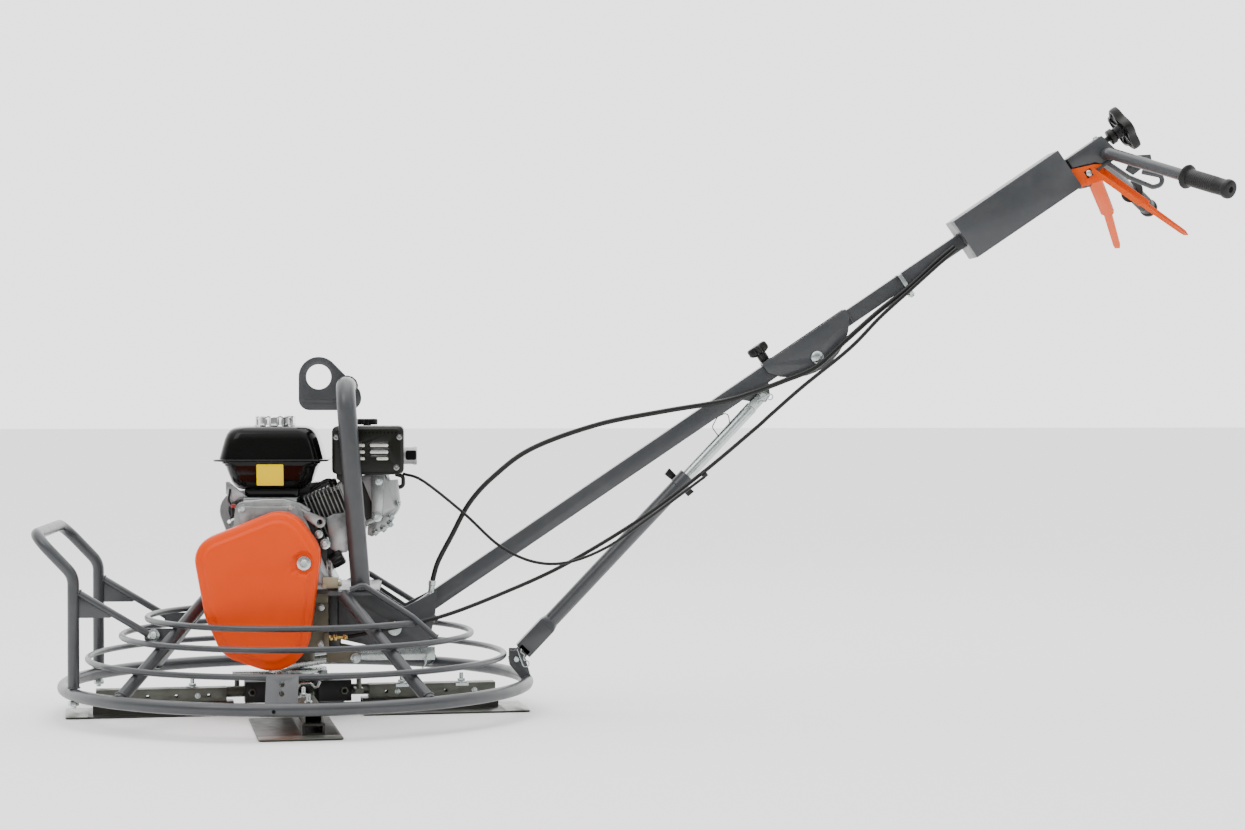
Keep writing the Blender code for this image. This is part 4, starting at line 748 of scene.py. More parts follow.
def make_engine():
    """Crankcase, fins, head, shrouds and the small castings between them."""
    near = -0.1004
    flange = convex_outline([(CRANK.x, CRANK.z, 0.074), (-0.118, 0.2664, 0.012), (0.060, 0.2664, 0.012),
                             (-0.098, 0.408, 0.018), (-0.004, 0.408, 0.018)])
    plate = slab(flange, near - 0.0090, near - 0.0010)
    rim = slab(shrink_outline(even_outline(flange, 120), 0.010), near - 0.0130, near - 0.0085)
    screws = []
    for x, z in ((-0.1010, 0.4110), (-0.0080, 0.4130), (-0.118, 0.268), (0.0600, 0.268)):
        screws += bolt((x, near - 0.0092, z), (0, -1, 0), 0.0055)
    for x in (-0.118, 0.076):
        for y in (-0.092, 0.030):
            screws += bolt((x, y, 0.2626), UP, 0.0056)
    piece("crankcase_screws", screws, "zinc_bright", "machine_base", "zinc")
    ribs = [slab([(x, 0.262), (x + 0.004, 0.262), (x + 0.004, 0.302), (x, 0.310)], -0.1085, -0.099)
            for x in (0.044, 0.052, 0.062, 0.070)]
    finished("crankcase", "cast_alloy", 0.0012, [plate, rim, *ribs], over_degrees=45)
    finished("crankshaft", "machined", 0.0006)
    shapes = []
    for k in range(13):
        start = 0.0850 + 0.0080 * k
        half = 0.0530 if k < 10 else 0.0550
        shapes.append(cylinder_slab(start, start + 0.0022, half, -0.0620, 0.0415))
    # The core between the fins is painted dark: painted shade for the gaps between the fins.
    core = [cylinder_slab(0.0740, 0.2060, 0.040, -0.050, 0.032)]
    piece("cylinder_core", core, "painted_shade_dark", "machine_base", "cast_aluminium", (), 0.0004)
    shapes.append(cylinder_slab(0.1600, 0.1660, 0.054, -0.0605, 0.040))
    for across in (-0.043, 0.043):
        for side in (-0.047, 0.029):
            shapes.append(rod(along_cylinder(0.155, across, side), along_cylinder(0.2064, across, side), 0.0065))
    piece("cylinder_block_finished", shapes, "fin_alloy", "machine_base", "cast_aluminium",
          ["cylinder_block"], 0.0004, 60)
    finished("rocker_cover", "silver_paint", 0.0015)
    cover_bolts = []
    for across, side in ((0.034, -0.050), (-0.034, -0.050), (0.034, 0.030), (-0.034, 0.030)):
        cover_bolts += bolt(along_cylinder(0.2535, across * 0.9, side * 0.95),
                            along_cylinder(1, 0, 0) - along_cylinder(0, 0, 0), 0.0048)
    piece("rocker_cover_bolts", cover_bolts, "zinc_bright", "machine_base", "zinc")
    finished("fan_shroud", "silver_paint", 0.0012)
    finished("recoil_grip", "plastic_black", 0.0016, over_degrees=50)
    make_recoil_starter()
    make_starter_rope()
    make_engine_trim()


def make_recoil_starter():
    """Pressed recoil housing with a ring of louvres and its screws."""
    centre = (CRANK.x, 0.1244, CRANK.z)
    dish = turned([(0.0, 0.0780), (0.009, 0.0780), (0.012, 0.0768), (0.0290, 0.0690), (0.0330, 0.0660),
                   (0.0365, 0.0560), (0.0385, 0.0480), (0.0395, 0.0340), (0.0400, 0.0300), (0.0380, 0.0285),
                   (0.0375, 0.0120), (0.0385, 0.0060)], centre, SIDE, 72)
    louvres = []
    for k in range(18):
        angle = 2 * math.pi * k / 18
        out = Vector((math.cos(angle), 0, math.sin(angle)))
        start = Vector(centre) + SIDE * 0.0345 + out * 0.0370
        end = Vector(centre) + SIDE * 0.0325 + out * 0.0620
        louvres.append(bar(start, end, 0.0050, 0.0120, SIDE))
    piece("recoil_starter_finished", [dish, *louvres], "silver_paint", "machine_base", "silver_paint",
          ["recoil_starter"], 0.0008, 60)
    screws = []
    for k in range(3):
        angle = math.radians(50 + 120 * k)
        spot = Vector(centre) + 0.0735 * Vector((math.cos(angle), 0, math.sin(angle))) + SIDE * 0.0105
        screws += bolt(spot, SIDE, 0.0042)
    piece("recoil_screws", screws, "zinc_bright", "machine_base", "zinc")


def make_starter_rope():
    """Starter rope, drawn out of the recoil housing towards the grip."""
    pull = Vector((-0.72, 0.10, 0.68)).normalized()
    root = Vector((CRANK.x, 0.146, CRANK.z)) + 0.081 * Vector((-0.72, 0, 0.69)).normalized()
    path = [root + pull * (-0.016 + 0.001 * step) for step in range(29)]
    rope = piece("starter_rope", [pipe(path, 0.0022, 12)], "cable_sheath", None, "rubber")
    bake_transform(rope)


def make_engine_trim():
    """Small castings, brackets and leads around the engine."""
    lug_at = (0.0495, 0.3850)
    lug_hole = [(lug_at[0] + 0.0050 * math.cos(2 * math.pi * k / 36), lug_at[1] + 0.0050 * math.sin(2 * math.pi * k / 36))
                for k in range(36)]
    lug = holed_plate(convex_outline([(*lug_at, 0.0115), (0.026, 0.398, 0.008)]), lug_hole, lug_at, -0.1130, -0.0985)
    arm = pipe([(0.040, -0.1060, 0.3930), (0.018, -0.1040, 0.4050), (-0.004, -0.1040, 0.4160)], 0.0055, 16)
    boss = turned([(0, 0.0100), (0.010, 0.0100), (0.012, 0.0090)], (0.0601, -0.1000, 0.3420), (0, -1, 0), 32)
    lower_boss = turned([(0, 0.0085), (0.012, 0.0085), (0.014, 0.0072)], (0.0480, -0.0990, 0.3610), (0, -1, 0), 32)
    wedge = slab([(0.0610, 0.3920), (0.0760, 0.4000), (0.0980, 0.4020), (0.1140, 0.3860), (0.1120, 0.3360),
                  (0.1010, 0.3240), (0.0860, 0.3220), (0.0690, 0.3310)], -0.0850, -0.0500)
    leg = slab([(0.1500, 0.4780), (0.1500, 0.3960), (0.1560, 0.3840), (0.1680, 0.3840), (0.1720, 0.3960),
                (0.1740, 0.4400), (0.1770, 0.4780)], -0.0640, -0.0560)
    elbow = pipe(rounded([(0.1560, -0.0300, 0.3980), (0.1900, -0.0300, 0.4080), (0.1840, -0.0300, 0.4640)], 0.022, 10),
                 [0.0170] * 2 + [0.0200] * 8 + [0.0180] * 3, 28)
    base = [block((-0.100, -0.098, 0.4240), (0.004, 0.020, 0.4330)),
            slab([(-0.118, 0.4250), (-0.108, 0.4330), (-0.092, 0.4330), (-0.130, 0.4640), (-0.136, 0.4640),
                  (-0.136, 0.4400)], -0.0830, -0.0770),
            pipe([(-0.100, -0.1000, 0.4240), (-0.060, -0.1010, 0.4270), (-0.020, -0.1010, 0.4270), (0.010, -0.1000, 0.4180),
                  (0.030, -0.1000, 0.4060)], 0.0050, 14)]
    foot = slab([(0.142, 0.392), (0.141, 0.356), (0.150, 0.352), (0.166, 0.361), (0.186, 0.371), (0.194, 0.388),
                 (0.198, 0.405), (0.180, 0.412)], -0.0440, -0.0320)
    piece("engine_castings", [lug, arm, boss, lower_boss, wedge, leg, foot, *base], "cast_alloy", "machine_base",
          "cast_aluminium", (), 0.0016)
    piece("exhaust_elbow", [elbow], "silver_paint", "machine_base", "silver_paint")
    # Dark plates of painted shadow in the recesses beside the cover and in the corner by the foot.
    shadows = [slab([(0.024, 0.402), (0.040, 0.374), (0.056, 0.360), (0.064, 0.330), (0.064, 0.300), (0.050, 0.300),
                     (0.030, 0.340), (0.008, 0.400)], -0.1035, -0.0995),
               slab([(0.062, 0.336), (0.062, 0.300), (0.076, 0.296), (0.088, 0.322), (0.074, 0.330)], -0.0800, -0.0640)]
    piece("engine_painted_shadows", shadows, "painted_shade_dark", "machine_base", "cast_aluminium", (), 0.0008)
    studs = []
    studs += bolt((0.0601, -0.1122, 0.3420), (0, -1, 0), 0.0060)
    studs += bolt((0.0480, -0.1132, 0.3610), (0, -1, 0), 0.0045)
    studs += bolt((0.1605, -0.0642, 0.3930), (0, -1, 0), 0.0060)
    studs += bolt((0.1640, -0.0642, 0.4640), (0, -1, 0), 0.0048)
    for x, z in ((0.1560, 0.3620), (0.1720, 0.3690), (0.1860, 0.3790), (0.1880, 0.3930)):
        studs.append(rod((x - 0.004, -0.0440, z + 0.004), (x + 0.005, -0.0440, z - 0.006), 0.0050, 20, 0.001))
        studs.append(hexagon((x, -0.0480, z), (0.5, -1, -0.6), 0.0058, 0.0060))
    studs.append(rod((-0.1130, -0.0950, 0.3930), (-0.1010, -0.0950, 0.4030), 0.0050, 20, 0.001))
    studs.append(hexagon((-0.1240, -0.0950, 0.3860), (-0.7, 0, -0.6), 0.0070, 0.0070))
    studs.append(rod((-0.1240, -0.0950, 0.3860), (-0.1130, -0.0950, 0.3930), 0.0040, 20))
    piece("engine_studs", studs, "zinc_bright", "machine_base", "zinc")
    black = [rod(along_cylinder(0.150, 0.050, -0.040), along_cylinder(0.150, 0.062, -0.044), 0.008, 20, 0.001),
             pipe(rounded([along_cylinder(0.150, 0.060, -0.044), (0.062, -0.060, 0.468), (0.030, -0.050, 0.446)],
                          0.012), 0.0035, 12),
             block((-0.1240, -0.0980, 0.3960), (-0.1150, -0.0860, 0.4120)),
             pipe(rounded([(-0.1200, -0.0920, 0.410), (-0.1300, -0.0910, 0.428), (-0.1270, -0.0890, 0.450)], 0.008),
                  0.0022, 10),
             pipe(rounded([(-0.1170, -0.0920, 0.398), (-0.1080, -0.0960, 0.412), (-0.1060, -0.0940, 0.426)], 0.008),
                  0.0022, 10),
             pipe(rounded([(0.196, -0.022, 0.476), (0.212, -0.022, 0.472), (0.212, -0.022, 0.452),
                           (0.196, -0.022, 0.448), (0.188, -0.022, 0.458)], 0.007, 6), 0.0042, 14)]
    piece("engine_leads", black, "plastic_black", "machine_base", "black_plastic", (), 0.0010)
    piece("stop_switch", [block((-0.1250, -0.1000, 0.4130), (-0.1150, -0.0880, 0.4200))], "red_plastic",
          "machine_base", "black_plastic", (), 0.0015)
    box_low, box_high = Vector((0.0560, -0.1260, 0.2560)), Vector((0.0860, -0.1110, 0.2770))
    switch = [block(box_low, box_high), rod((0.0860, -0.1180, 0.2640), (0.0930, -0.1180, 0.2640), 0.0050, 20, 0.001),
              rod((0.0600, -0.1262, 0.2600), (0.0600, -0.1290, 0.2600), 0.0050, 20, 0.0008)]
    piece("level_switch", switch, "ivory", "machine_base", "black_plastic", (), 0.0014)
    neck = turned([(0, 0.0150), (0.010, 0.0135), (0.020, 0.0135), (0.021, 0.0150), (0.024, 0.0150), (0.025, 0.0135),
                   (0.0300, 0.0135)], (0.0470, -0.084, 0.2895), (0.866917, 0, 0.498477), 32)
    piece("oil_neck_ribs", [neck], "cast_alloy", "machine_base", "cast_aluminium")


TANK_Y = -0.018
TANK_LEVELS = [(0.4480, -0.108, 0.011, 0.054), (0.4500, -0.114, 0.017, 0.060), (0.4550, -0.120, 0.024, 0.068),
               (0.4640, -0.1255, 0.031, 0.076), (0.4800, -0.1310, 0.0370, 0.083), (0.4940, -0.1360, 0.0420, 0.0875),
               (0.4960, -0.1385, 0.0445, 0.0890), (0.4985, -0.1390, 0.0450, 0.0895), (0.5000, -0.1430, 0.0490, 0.0900),
               (0.5035, -0.1440, 0.0500, 0.0905), (0.5042, -0.159, 0.065, 0.0970), (0.5052, -0.160, 0.066, 0.0980),
               (0.5070, -0.160, 0.066, 0.0980), (0.5080, -0.159, 0.065, 0.0970), (0.5086, -0.1490, 0.0550, 0.0910),
               (0.5160, -0.1470, 0.0530, 0.0902), (0.532, -0.1430, 0.0490, 0.0888), (0.5480, -0.1385, 0.0445, 0.0868),
               (0.5580, -0.1345, 0.0405, 0.0845), (0.5650, -0.1295, 0.0355, 0.0810), (0.5695, -0.1230, 0.0290, 0.0755),
               (0.5718, -0.1150, 0.0210, 0.0690), (0.5728, -0.1050, 0.0110, 0.0600)]
CAP_AT = Vector((-0.043, TANK_Y, 0.5690))


def make_tank():
    """Pressed tank with its rim seam, plain label and scalloped chrome cap."""
    loops = []
    for height, left, right, half in TANK_LEVELS:
        outline = rounded_rectangle((left, TANK_Y - half), (right, TANK_Y + half), 0.030, 12)
        loops.append([(x, y, height) for x, y in outline])
    well = [0.0505, 0.0480, 0.0455, 0.0450]
    for radius, height in zip(well, (0.5728, 0.5722, 0.5700, 0.5655)):
        loops.append([CAP_AT + (Vector((x, y, CAP_AT.z)) - CAP_AT).normalized() * radius + UP * (height - CAP_AT.z)
                      for x, y, level in loops[-1 if radius != well[0] else len(TANK_LEVELS) - 1]])
    neck = turned([(0, 0.026), (0.004, 0.0235), (0.010, 0.0225), (0.014, 0.0220)],
                  CAP_AT - UP * 0.0090, UP, 48)
    feet = block((-0.100, TANK_Y - 0.050, 0.4335), (0.004, TANK_Y + 0.030, 0.4550))
    piece("fuel_tank_finished", [loft(loops), neck, feet], "tank_black", "machine_base", "black_paint",
          ["fuel_tank"], 0.0005, 80)
    label = slab(rounded_rectangle((-0.0740, 0.4570), (-0.0215, 0.4990), 0.002, 3), -0.1100, -0.1095)
    for vertex in label.verts:
        vertex.co.y += (0.5000 - vertex.co.z) * 0.21
    piece("plain_label", [label], "label_yellow", "machine_base", "black_paint")
    loops = []
    sides = 160
    for height, radius, scallop in ((0.0, 0.0385, 0.0), (0.002, 0.0400, 0.0), (0.004, 0.0404, 0.2),
                                    (0.006, 0.0405, 1.0), (0.020, 0.0405, 1.0), (0.0225, 0.0400, 0.6),
                                    (0.0245, 0.0380, 0.1), (0.0260, 0.0340, 0.0), (0.0264, 0.0250, 0.0),
                                    (0.0255, 0.0225, 0.0), (0.0262, 0.0200, 0.0), (0.0272, 0.0060, 0.0)):
        loop = []
        for k in range(sides):
            angle = 2 * math.pi * k / sides
            dip = max(0.0, math.cos(10 * angle)) ** 0.7 * 0.0030 * scallop
            reach = radius - dip
            loop.append(CAP_AT + Vector((reach * math.cos(angle), reach * math.sin(angle), height)))
        loops.append(loop)
    piece("fuel_cap_finished", [loft(loops)], "chrome", "fuel_cap", "chrome", ["fuel_cap"])


def make_muffler():
    """Silencer behind its slotted guard, and the air cleaner beyond."""
    finished("muffler", "silver_paint", 0.0012)
    rim = turned([(0, 0.0150), (0.0, 0.0178), (0.004, 0.0186), (0.008, 0.0178)], (0.232, -0.052, 0.514),
                 (1, 0, 0), 40)
    # The outlet bore is a dark plate of painted shade.
    bore = slab(rounded_rectangle((0.2180, 0.5060), (0.2385, 0.5250), 0.003, 4), -0.0712, -0.0640)
    piece("muffler_outlet_bore", [bore], "painted_hole_shade", "machine_base", "silver_paint")
    pressed, lights = [], []
    for column, width in ((0.108, 0.030), (0.148, 0.036)):
        for row in range(3):
            height = 0.5065 + 0.0130 * row
            start = column + (0.013 if row == 0 and column > 0.14 else 0.0)
            lights.append(slab(rounded_rectangle((start, height), (column + width, height + 0.0062), 0.0028, 4),
                               -0.1016, -0.1004))
            pressed.append(pipe([(start, -0.1014, height - 0.0010), (column + width, -0.1014, height - 0.0010)],
                                0.0013, 8))
    piece("muffler_louvres", lights, "louvre_light", "machine_base", "silver_paint", (), 0.0004)
    apron = slab([(0.082, 0.480), (0.082, 0.4700), (0.094, 0.4620), (0.106, 0.4620), (0.114, 0.480)],
                 -0.1005, -0.0985)
    strap = slab([(0.112, 0.492), (0.118, 0.4840), (0.205, 0.4840), (0.205, 0.4780), (0.112, 0.4780)],
                 -0.1022, -0.1004)
    finished("muffler_guard", "guard_black", 0.0010, [*pressed, apron, strap])
    # The guard's holes are dark discs of painted shade.
    holes = [rod((0.094 + 0.0075 * k, -0.1016, 0.5610), (0.094 + 0.0075 * k, -0.1004, 0.5610), 0.0018, 12)
             for k in range(15)]
    piece("muffler_guard_holes", holes, "painted_hole_shade", "machine_base", "black_paint")
    corners = []
    for x, z in ((0.082, 0.552), (0.206, 0.552), (0.200, 0.492)):
        corners += bolt((x, -0.1010, z), (0, -1, 0), 0.0034, False)
    piece("muffler_guard_screws", corners, "machined", "machine_base", "dark_steel")
    piece("muffler_outlet_rim", [rim], "silver_paint", "machine_base", "silver_paint")
    loops = []
    for height, shrink in ((0.484, 0.004), (0.4865, 0.001), (0.490, 0.0), (0.510, 0.0), (0.511, 0.0015),
                           (0.513, 0.0015), (0.514, 0.0), (0.546, 0.0), (0.553, 0.0015), (0.559, 0.006),
                           (0.563, 0.012), (0.5655, 0.022), (0.566, 0.030)):
        outline = rounded_rectangle((0.078 + shrink, 0.004 + shrink), (0.200 - shrink, 0.122 - shrink), 0.026)
        loops.append([(x, y, height) for x, y in outline])
    piece("air_cleaner_finished", [loft(loops)], "plastic_black", "machine_base", "black_plastic",
          ["air_cleaner"])
    nut = (0.138, 0.055)
    lobes = [turned([(0, 0.008), (0.002, 0.0098), (0.010, 0.0098), (0.012, 0.008)],
                    (nut[0] + hand * 0.0115, nut[1], 0.5740), UP, 28) for hand in (-1, 1)]
    stem = turned([(0, 0.0095), (0.003, 0.008), (0.018, 0.0075), (0.0195, 0.006)], (*nut, 0.5664), UP, 28)
    web = block((nut[0] - 0.010, nut[1] - 0.004, 0.5755), (nut[0] + 0.010, nut[1] + 0.004, 0.5850))
    piece("air_cleaner_nut_finished", [*lobes, stem, web], "plastic_black", "air_cleaner_nut",
          "black_plastic", ["air_cleaner_nut"], 0.0006, 60)
    start = Vector((0.0704, -0.084, 0.3032))
    axis = Vector((0.866917, 0, 0.498477))
    cap = [turned([(0, 0.0120), (0.002, 0.0145), (0.0060, 0.0145)], start, axis, 36)]
    across, upward = frame_of(axis)
    loops = []
    for height, size in ((0.006, 0.97), (0.0075, 1.0), (0.0225, 1.0), (0.026, 0.93), (0.028, 0.75)):
        loops.append([start + axis * height + size * (0.0146 + 0.0006 * math.cos(12 * 2 * math.pi * k / 96))
                      * (math.cos(2 * math.pi * k / 96) * across + math.sin(2 * math.pi * k / 96) * upward)
                      for k in range(96)])
    cap.append(loft(loops))
    piece("oil_filler_cap_finished", cap, "plastic_black", "oil_filler_cap", "black_plastic",
          ["oil_filler_cap"])


# ---------------------------------------------------------------- rotor
def on_arm(index, outward, lead, height):
    """A point along an arm, towards its leading side, and up."""
    azimuth = ROTOR_TURN + index * math.pi / 2
    out = Vector((math.cos(azimuth), math.sin(azimuth), 0))
    ahead = Vector((-math.sin(azimuth), math.cos(azimuth), 0))
    return out * outward + ahead * lead + UP * height


def arm_axes(index):
    """Outward and leading unit vectors of an arm."""
    origin = on_arm(index, 0, 0, 0)
    return on_arm(index, 1, 0, 0) - origin, on_arm(index, 0, 1, 0) - origin


def make_rotor():
    """Spider, arms and blades with their bolts, pins and nuts."""
    finished("spider", "cast_black", 0.0022)
    nuts, holes = [], []
    for index in range(4):
        outward, leading = arm_axes(index)
        for hand in (-1, 1):
            centre = on_arm(index, 0.092, hand * 0.0221, 0.0415)
            nuts.append(hexagon(centre, leading * hand, 0.0082, 0.0035))
            # Dark disc of painted shade in each nut's bore.
            holes.append(rod(centre + leading * hand * 0.0034, centre + leading * hand * 0.0038, 0.0044))
        nuts += bolt(on_arm(index, 0.060, 0.0, 0.0628), UP, 0.0060)
    piece("spider_nuts", nuts, "plated_dull", "rotor", "galvanised")
    piece("spider_nut_bores", holes, "painted_hole_shade", "rotor", "black_cast")
    for index in range(4):
        make_arm(index)
    finished("pressure_plate", "zinc_bright", 0.0012)
    finished("pitch_yoke", "zinc_bright", 0.0012)
    clip = pipe(rounded([(0.2590, -0.0250, 0.114), (0.2590, -0.0310, 0.114), (0.2560, -0.0310, 0.096),
                         (0.2500, -0.0300, 0.088)], 0.004), 0.0016, 10)
    piece("yoke_clip", [clip], "zinc_bright", "pitch_yoke", "zinc")


def make_arm(index):
    """One arm and its blade: bolts through the channel, a bare tip and a wear strip."""
    body = f"arm_{index + 1}"
    outward, leading = arm_axes(index)
    finished(f"trowel_arm_{index + 1}", "plated_dull", 0.0010)
    finished(f"blade_{index + 1}", "blade_dark", 0.0005)
    fixings = []
    for reach in (0.209, 0.330):
        fixings.append(rod(on_arm(index, reach, -0.004, 0.0300), on_arm(index, reach, -0.004, 0.0720), 0.0040,
                           20, 0.001))
        fixings += bolt(on_arm(index, reach, -0.004, 0.0521), UP, 0.0075)
        fixings.append(bar(on_arm(index, reach - 0.013, -0.0185, 0.0490),
                           on_arm(index, reach + 0.013, -0.0185, 0.0490), 0.0012, 0.0060))
    for reach in (0.199, 0.355):
        for hand in (-1, 1):
            fixings += bolt(on_arm(index, reach, hand * 0.0181, 0.037), leading * hand, 0.0034, False)
    piece(f"arm_fixings_{index + 1}", fixings, "zinc_bright", body, "zinc")
    tip = rounded_rectangle((0.4080, -0.1040), (0.4568, 0.0512), 0.0078, 6)
    bare = loft([[on_arm(index, o, v, z) for o, v in tip] for z in (0.0030, 0.0038)])
    piece(f"blade_tip_{index + 1}", [bare], "blade_bare", body, "blade_steel", (), 0.0003)


def make_pitch_pin():
    """Bright bent pin that hangs by the near arm."""
    path = rounded([(0.004, -0.128, 0.056), (0.012, -0.130, 0.069), (0.034, -0.131, 0.070), (0.042, -0.132, 0.055),
                    (0.051, -0.133, 0.074)], 0.006, 6)
    piece("arm_clip", [pipe(path, 0.0026, 14)], "zinc_bright", "rotor", "zinc")


# ---------------------------------------------------------------- handle
def make_handle():
    """Lower and upper handle with the fold cheeks, bolt, knob and control box."""
    finished("lower_handle", "powder_grey", 0.0022, over_degrees=50)
    finished("handle_pivot_pin", "zinc_bright", 0.0008)
    beads = []
    for hand in (-1, 1):
        path = [on_handle(1.109, 0.0185 - 0.0300 * k / 6, hand * 0.0178) for k in range(7)]
        beads.append(pipe(path, 0.0018, 10))
    bracket = head_bracket()
    finished("upper_handle", "powder_grey", 0.0012, [*beads, *bracket], over_degrees=50)
    at = on_handle(1.008, -0.030)
    shapes = [rod(at - SIDE * 0.0240, at + SIDE * 0.0270, 0.0060)]
    for hand in (-1, 1):
        shapes.append(turned([(0, 0.0125), (0.0012, 0.0130), (0.0035, 0.0126), (0.0056, 0.0100), (0.0064, 0.0050),
                              (0.0066, 0.0010)], at + SIDE * hand * 0.0220, SIDE * hand, 40))
    piece("fold_bolt_finished", shapes, "zinc_bright", "upper_handle", "zinc", ["fold_bolt"])
    make_fold_knob()
    finished("control_box", "powder_grey", 0.0010)
    head_screw = bolt(on_handle(1.7300, 0.0180, -0.012), ABOVE, 0.0050, False)
    piece("head_screw", head_screw, "zinc_bright", "upper_handle", "zinc")
    make_clips()


def head_bracket():
    """Folded bracket over the tube's end that carries bar and lever."""
    thickness = 0.0022
    top = 0.0156
    shapes = [handle_plate([(1.655, top), (1.655, top + thickness), (1.742, top + thickness), (1.742, top)],
                           -0.0250, 0.0250)]
    for hand in (-1, 1):
        outline = [(1.655, top), (1.742, top), (1.7500, -0.0200), (1.7440, -0.0390), (1.7120, -0.0345),
                   (1.7000, -0.0200), (1.655, -0.0040)]
        shapes.append(handle_plate(outline, hand * 0.0226, hand * 0.0250))
    return shapes


def make_fold_knob():
    """Star knob that locks the fold."""
    foot = on_handle(0.9190, 0.0174)
    across, upward = frame_of(ABOVE)
    loops = []
    for height, size in ((0.0210, 0.62), (0.0235, 0.86), (0.0262, 0.98), (0.0285, 1.0), (0.0355, 1.0),
                         (0.0385, 0.97), (0.0405, 0.88), (0.0412, 0.70)):
        loop = []
        for k in range(120):
            angle = 2 * math.pi * k / 120
            lobe = 0.0200 + 0.0036 * math.cos(6 * angle)
            loop.append(foot + ABOVE * height + size * lobe * (math.cos(angle) * across + math.sin(angle) * upward))
        loops.append(loop)
    collar = turned([(0.0006, 0.0052), (0.0055, 0.0052), (0.0056, 0.0088), (0.007, 0.0096), (0.0240, 0.0096)],
                    foot, ABOVE, 36)
    ribs = []
    for k in range(8):
        angle = 2 * math.pi * k / 8
        out = math.cos(angle) * across + math.sin(angle) * upward
        ribs.append(bar(foot + ABOVE * 0.0075 + out * 0.0094, foot + ABOVE * 0.0235 + out * 0.0094, 0.0018, 0.0016,
                        out))
    piece("fold_knob_finished", [loft(loops), collar, *ribs], "plastic_black", "fold_knob", "black_plastic",
          ["fold_knob"])


def r_clip(start, along, down, size):
    """A spring clip: a straight leg and a wavy leg from one loop."""
    start, along, down = Vector(start), Vector(along).normalized(), Vector(down).normalized()
    path = [start, start + along * 0.30 * size, start + along * 0.62 * size]
    for k in range(9):
        angle = math.radians(-90 + 270 * k / 8)
        path.append(start + along * (0.80 + 0.17 * math.cos(angle)) * size
                    + down * (0.16 + 0.17 * math.sin(angle)) * size)
    path += [start + along * 0.52 * size + down * 0.14 * size, start + along * 0.34 * size + down * 0.24 * size,
             start + along * 0.16 * size + down * 0.12 * size, start + along * 0.02 * size + down * 0.20 * size]
    return pipe(path, 0.0013, 10)


def make_clips():
    """Spring clips on the strut's pins and the band that holds the cables."""
    foot = STRUT_FOOT
    low_clip = r_clip(foot + Vector((0.002, -0.0345, 0.020)), (0.35, 0, -1), (1, 0, 0.3), 0.040)
    foot_pin = [rod(foot + SIDE * -0.034, foot + SIDE * 0.034, 0.0056, 24, 0.001)]
    piece("strut_foot_pin", foot_pin, "zinc_bright", "machine_base", "zinc")
    piece("strut_foot_clip", [low_clip], "zinc_bright", "machine_base", "zinc")
    piece("strut_top_clip", [r_clip(STRUT_TOP + Vector((-0.012, -0.0165, -0.010)), (1, 0, 0.55), (0.5, 0, -1), 0.034)],
          "zinc_bright", "strut_inner", "zinc")
    at = on_handle(1.2400, 0)
    band = rounded_rectangle((-0.0190, -0.0330), (0.0220, 0.0166), 0.004, 4)
    inner = rounded_rectangle((-0.0178, -0.0318), (0.0208, 0.0154), 0.0035, 4)
    loops = []
    for (a, b), (c, d) in zip(band, inner):
        loops.append([at + SIDE * y + ABOVE * n + ALONG * s
                      for y, n, s in ((a - 0.006, b, -0.004), (a - 0.006, b, 0.004), (c - 0.006, d, 0.004),
                                      (c - 0.006, d, -0.004))])
    clamp = bolt(on_handle(1.2400, -0.0332, -0.010), -ABOVE, 0.0050)
    piece("cable_band", [loft(loops, closed=True), *clamp], "zinc_bright", "upper_handle", "zinc")
    ring = [on_strut(0.640, 0.010, -0.010), on_strut(0.655, 0.030, -0.012), on_strut(0.632, 0.038, -0.012),
            on_strut(0.610, 0.032, -0.012), on_strut(0.606, 0.010, -0.010)]
    piece("pin_lanyard", [pipe(rounded(ring, 0.008, 6), 0.0011, 8)], "plastic_black", "strut_inner",
          "black_plastic")


# ---------------------------------------------------------------- head
GRIP_START, GRIP_END = 0.215, 0.305


def handlebar_point(side):
    """Centre of the swept-back handlebar at a distance out to one side."""
    inner = on_handle(1.7280, -0.0190)
    inner_side = 0.052
    outer = Vector((1.812, GRIP_END, 1.033))
    point = inner.lerp(outer, (abs(side) - inner_side) / (GRIP_END - inner_side))
    point.y = side
    return point


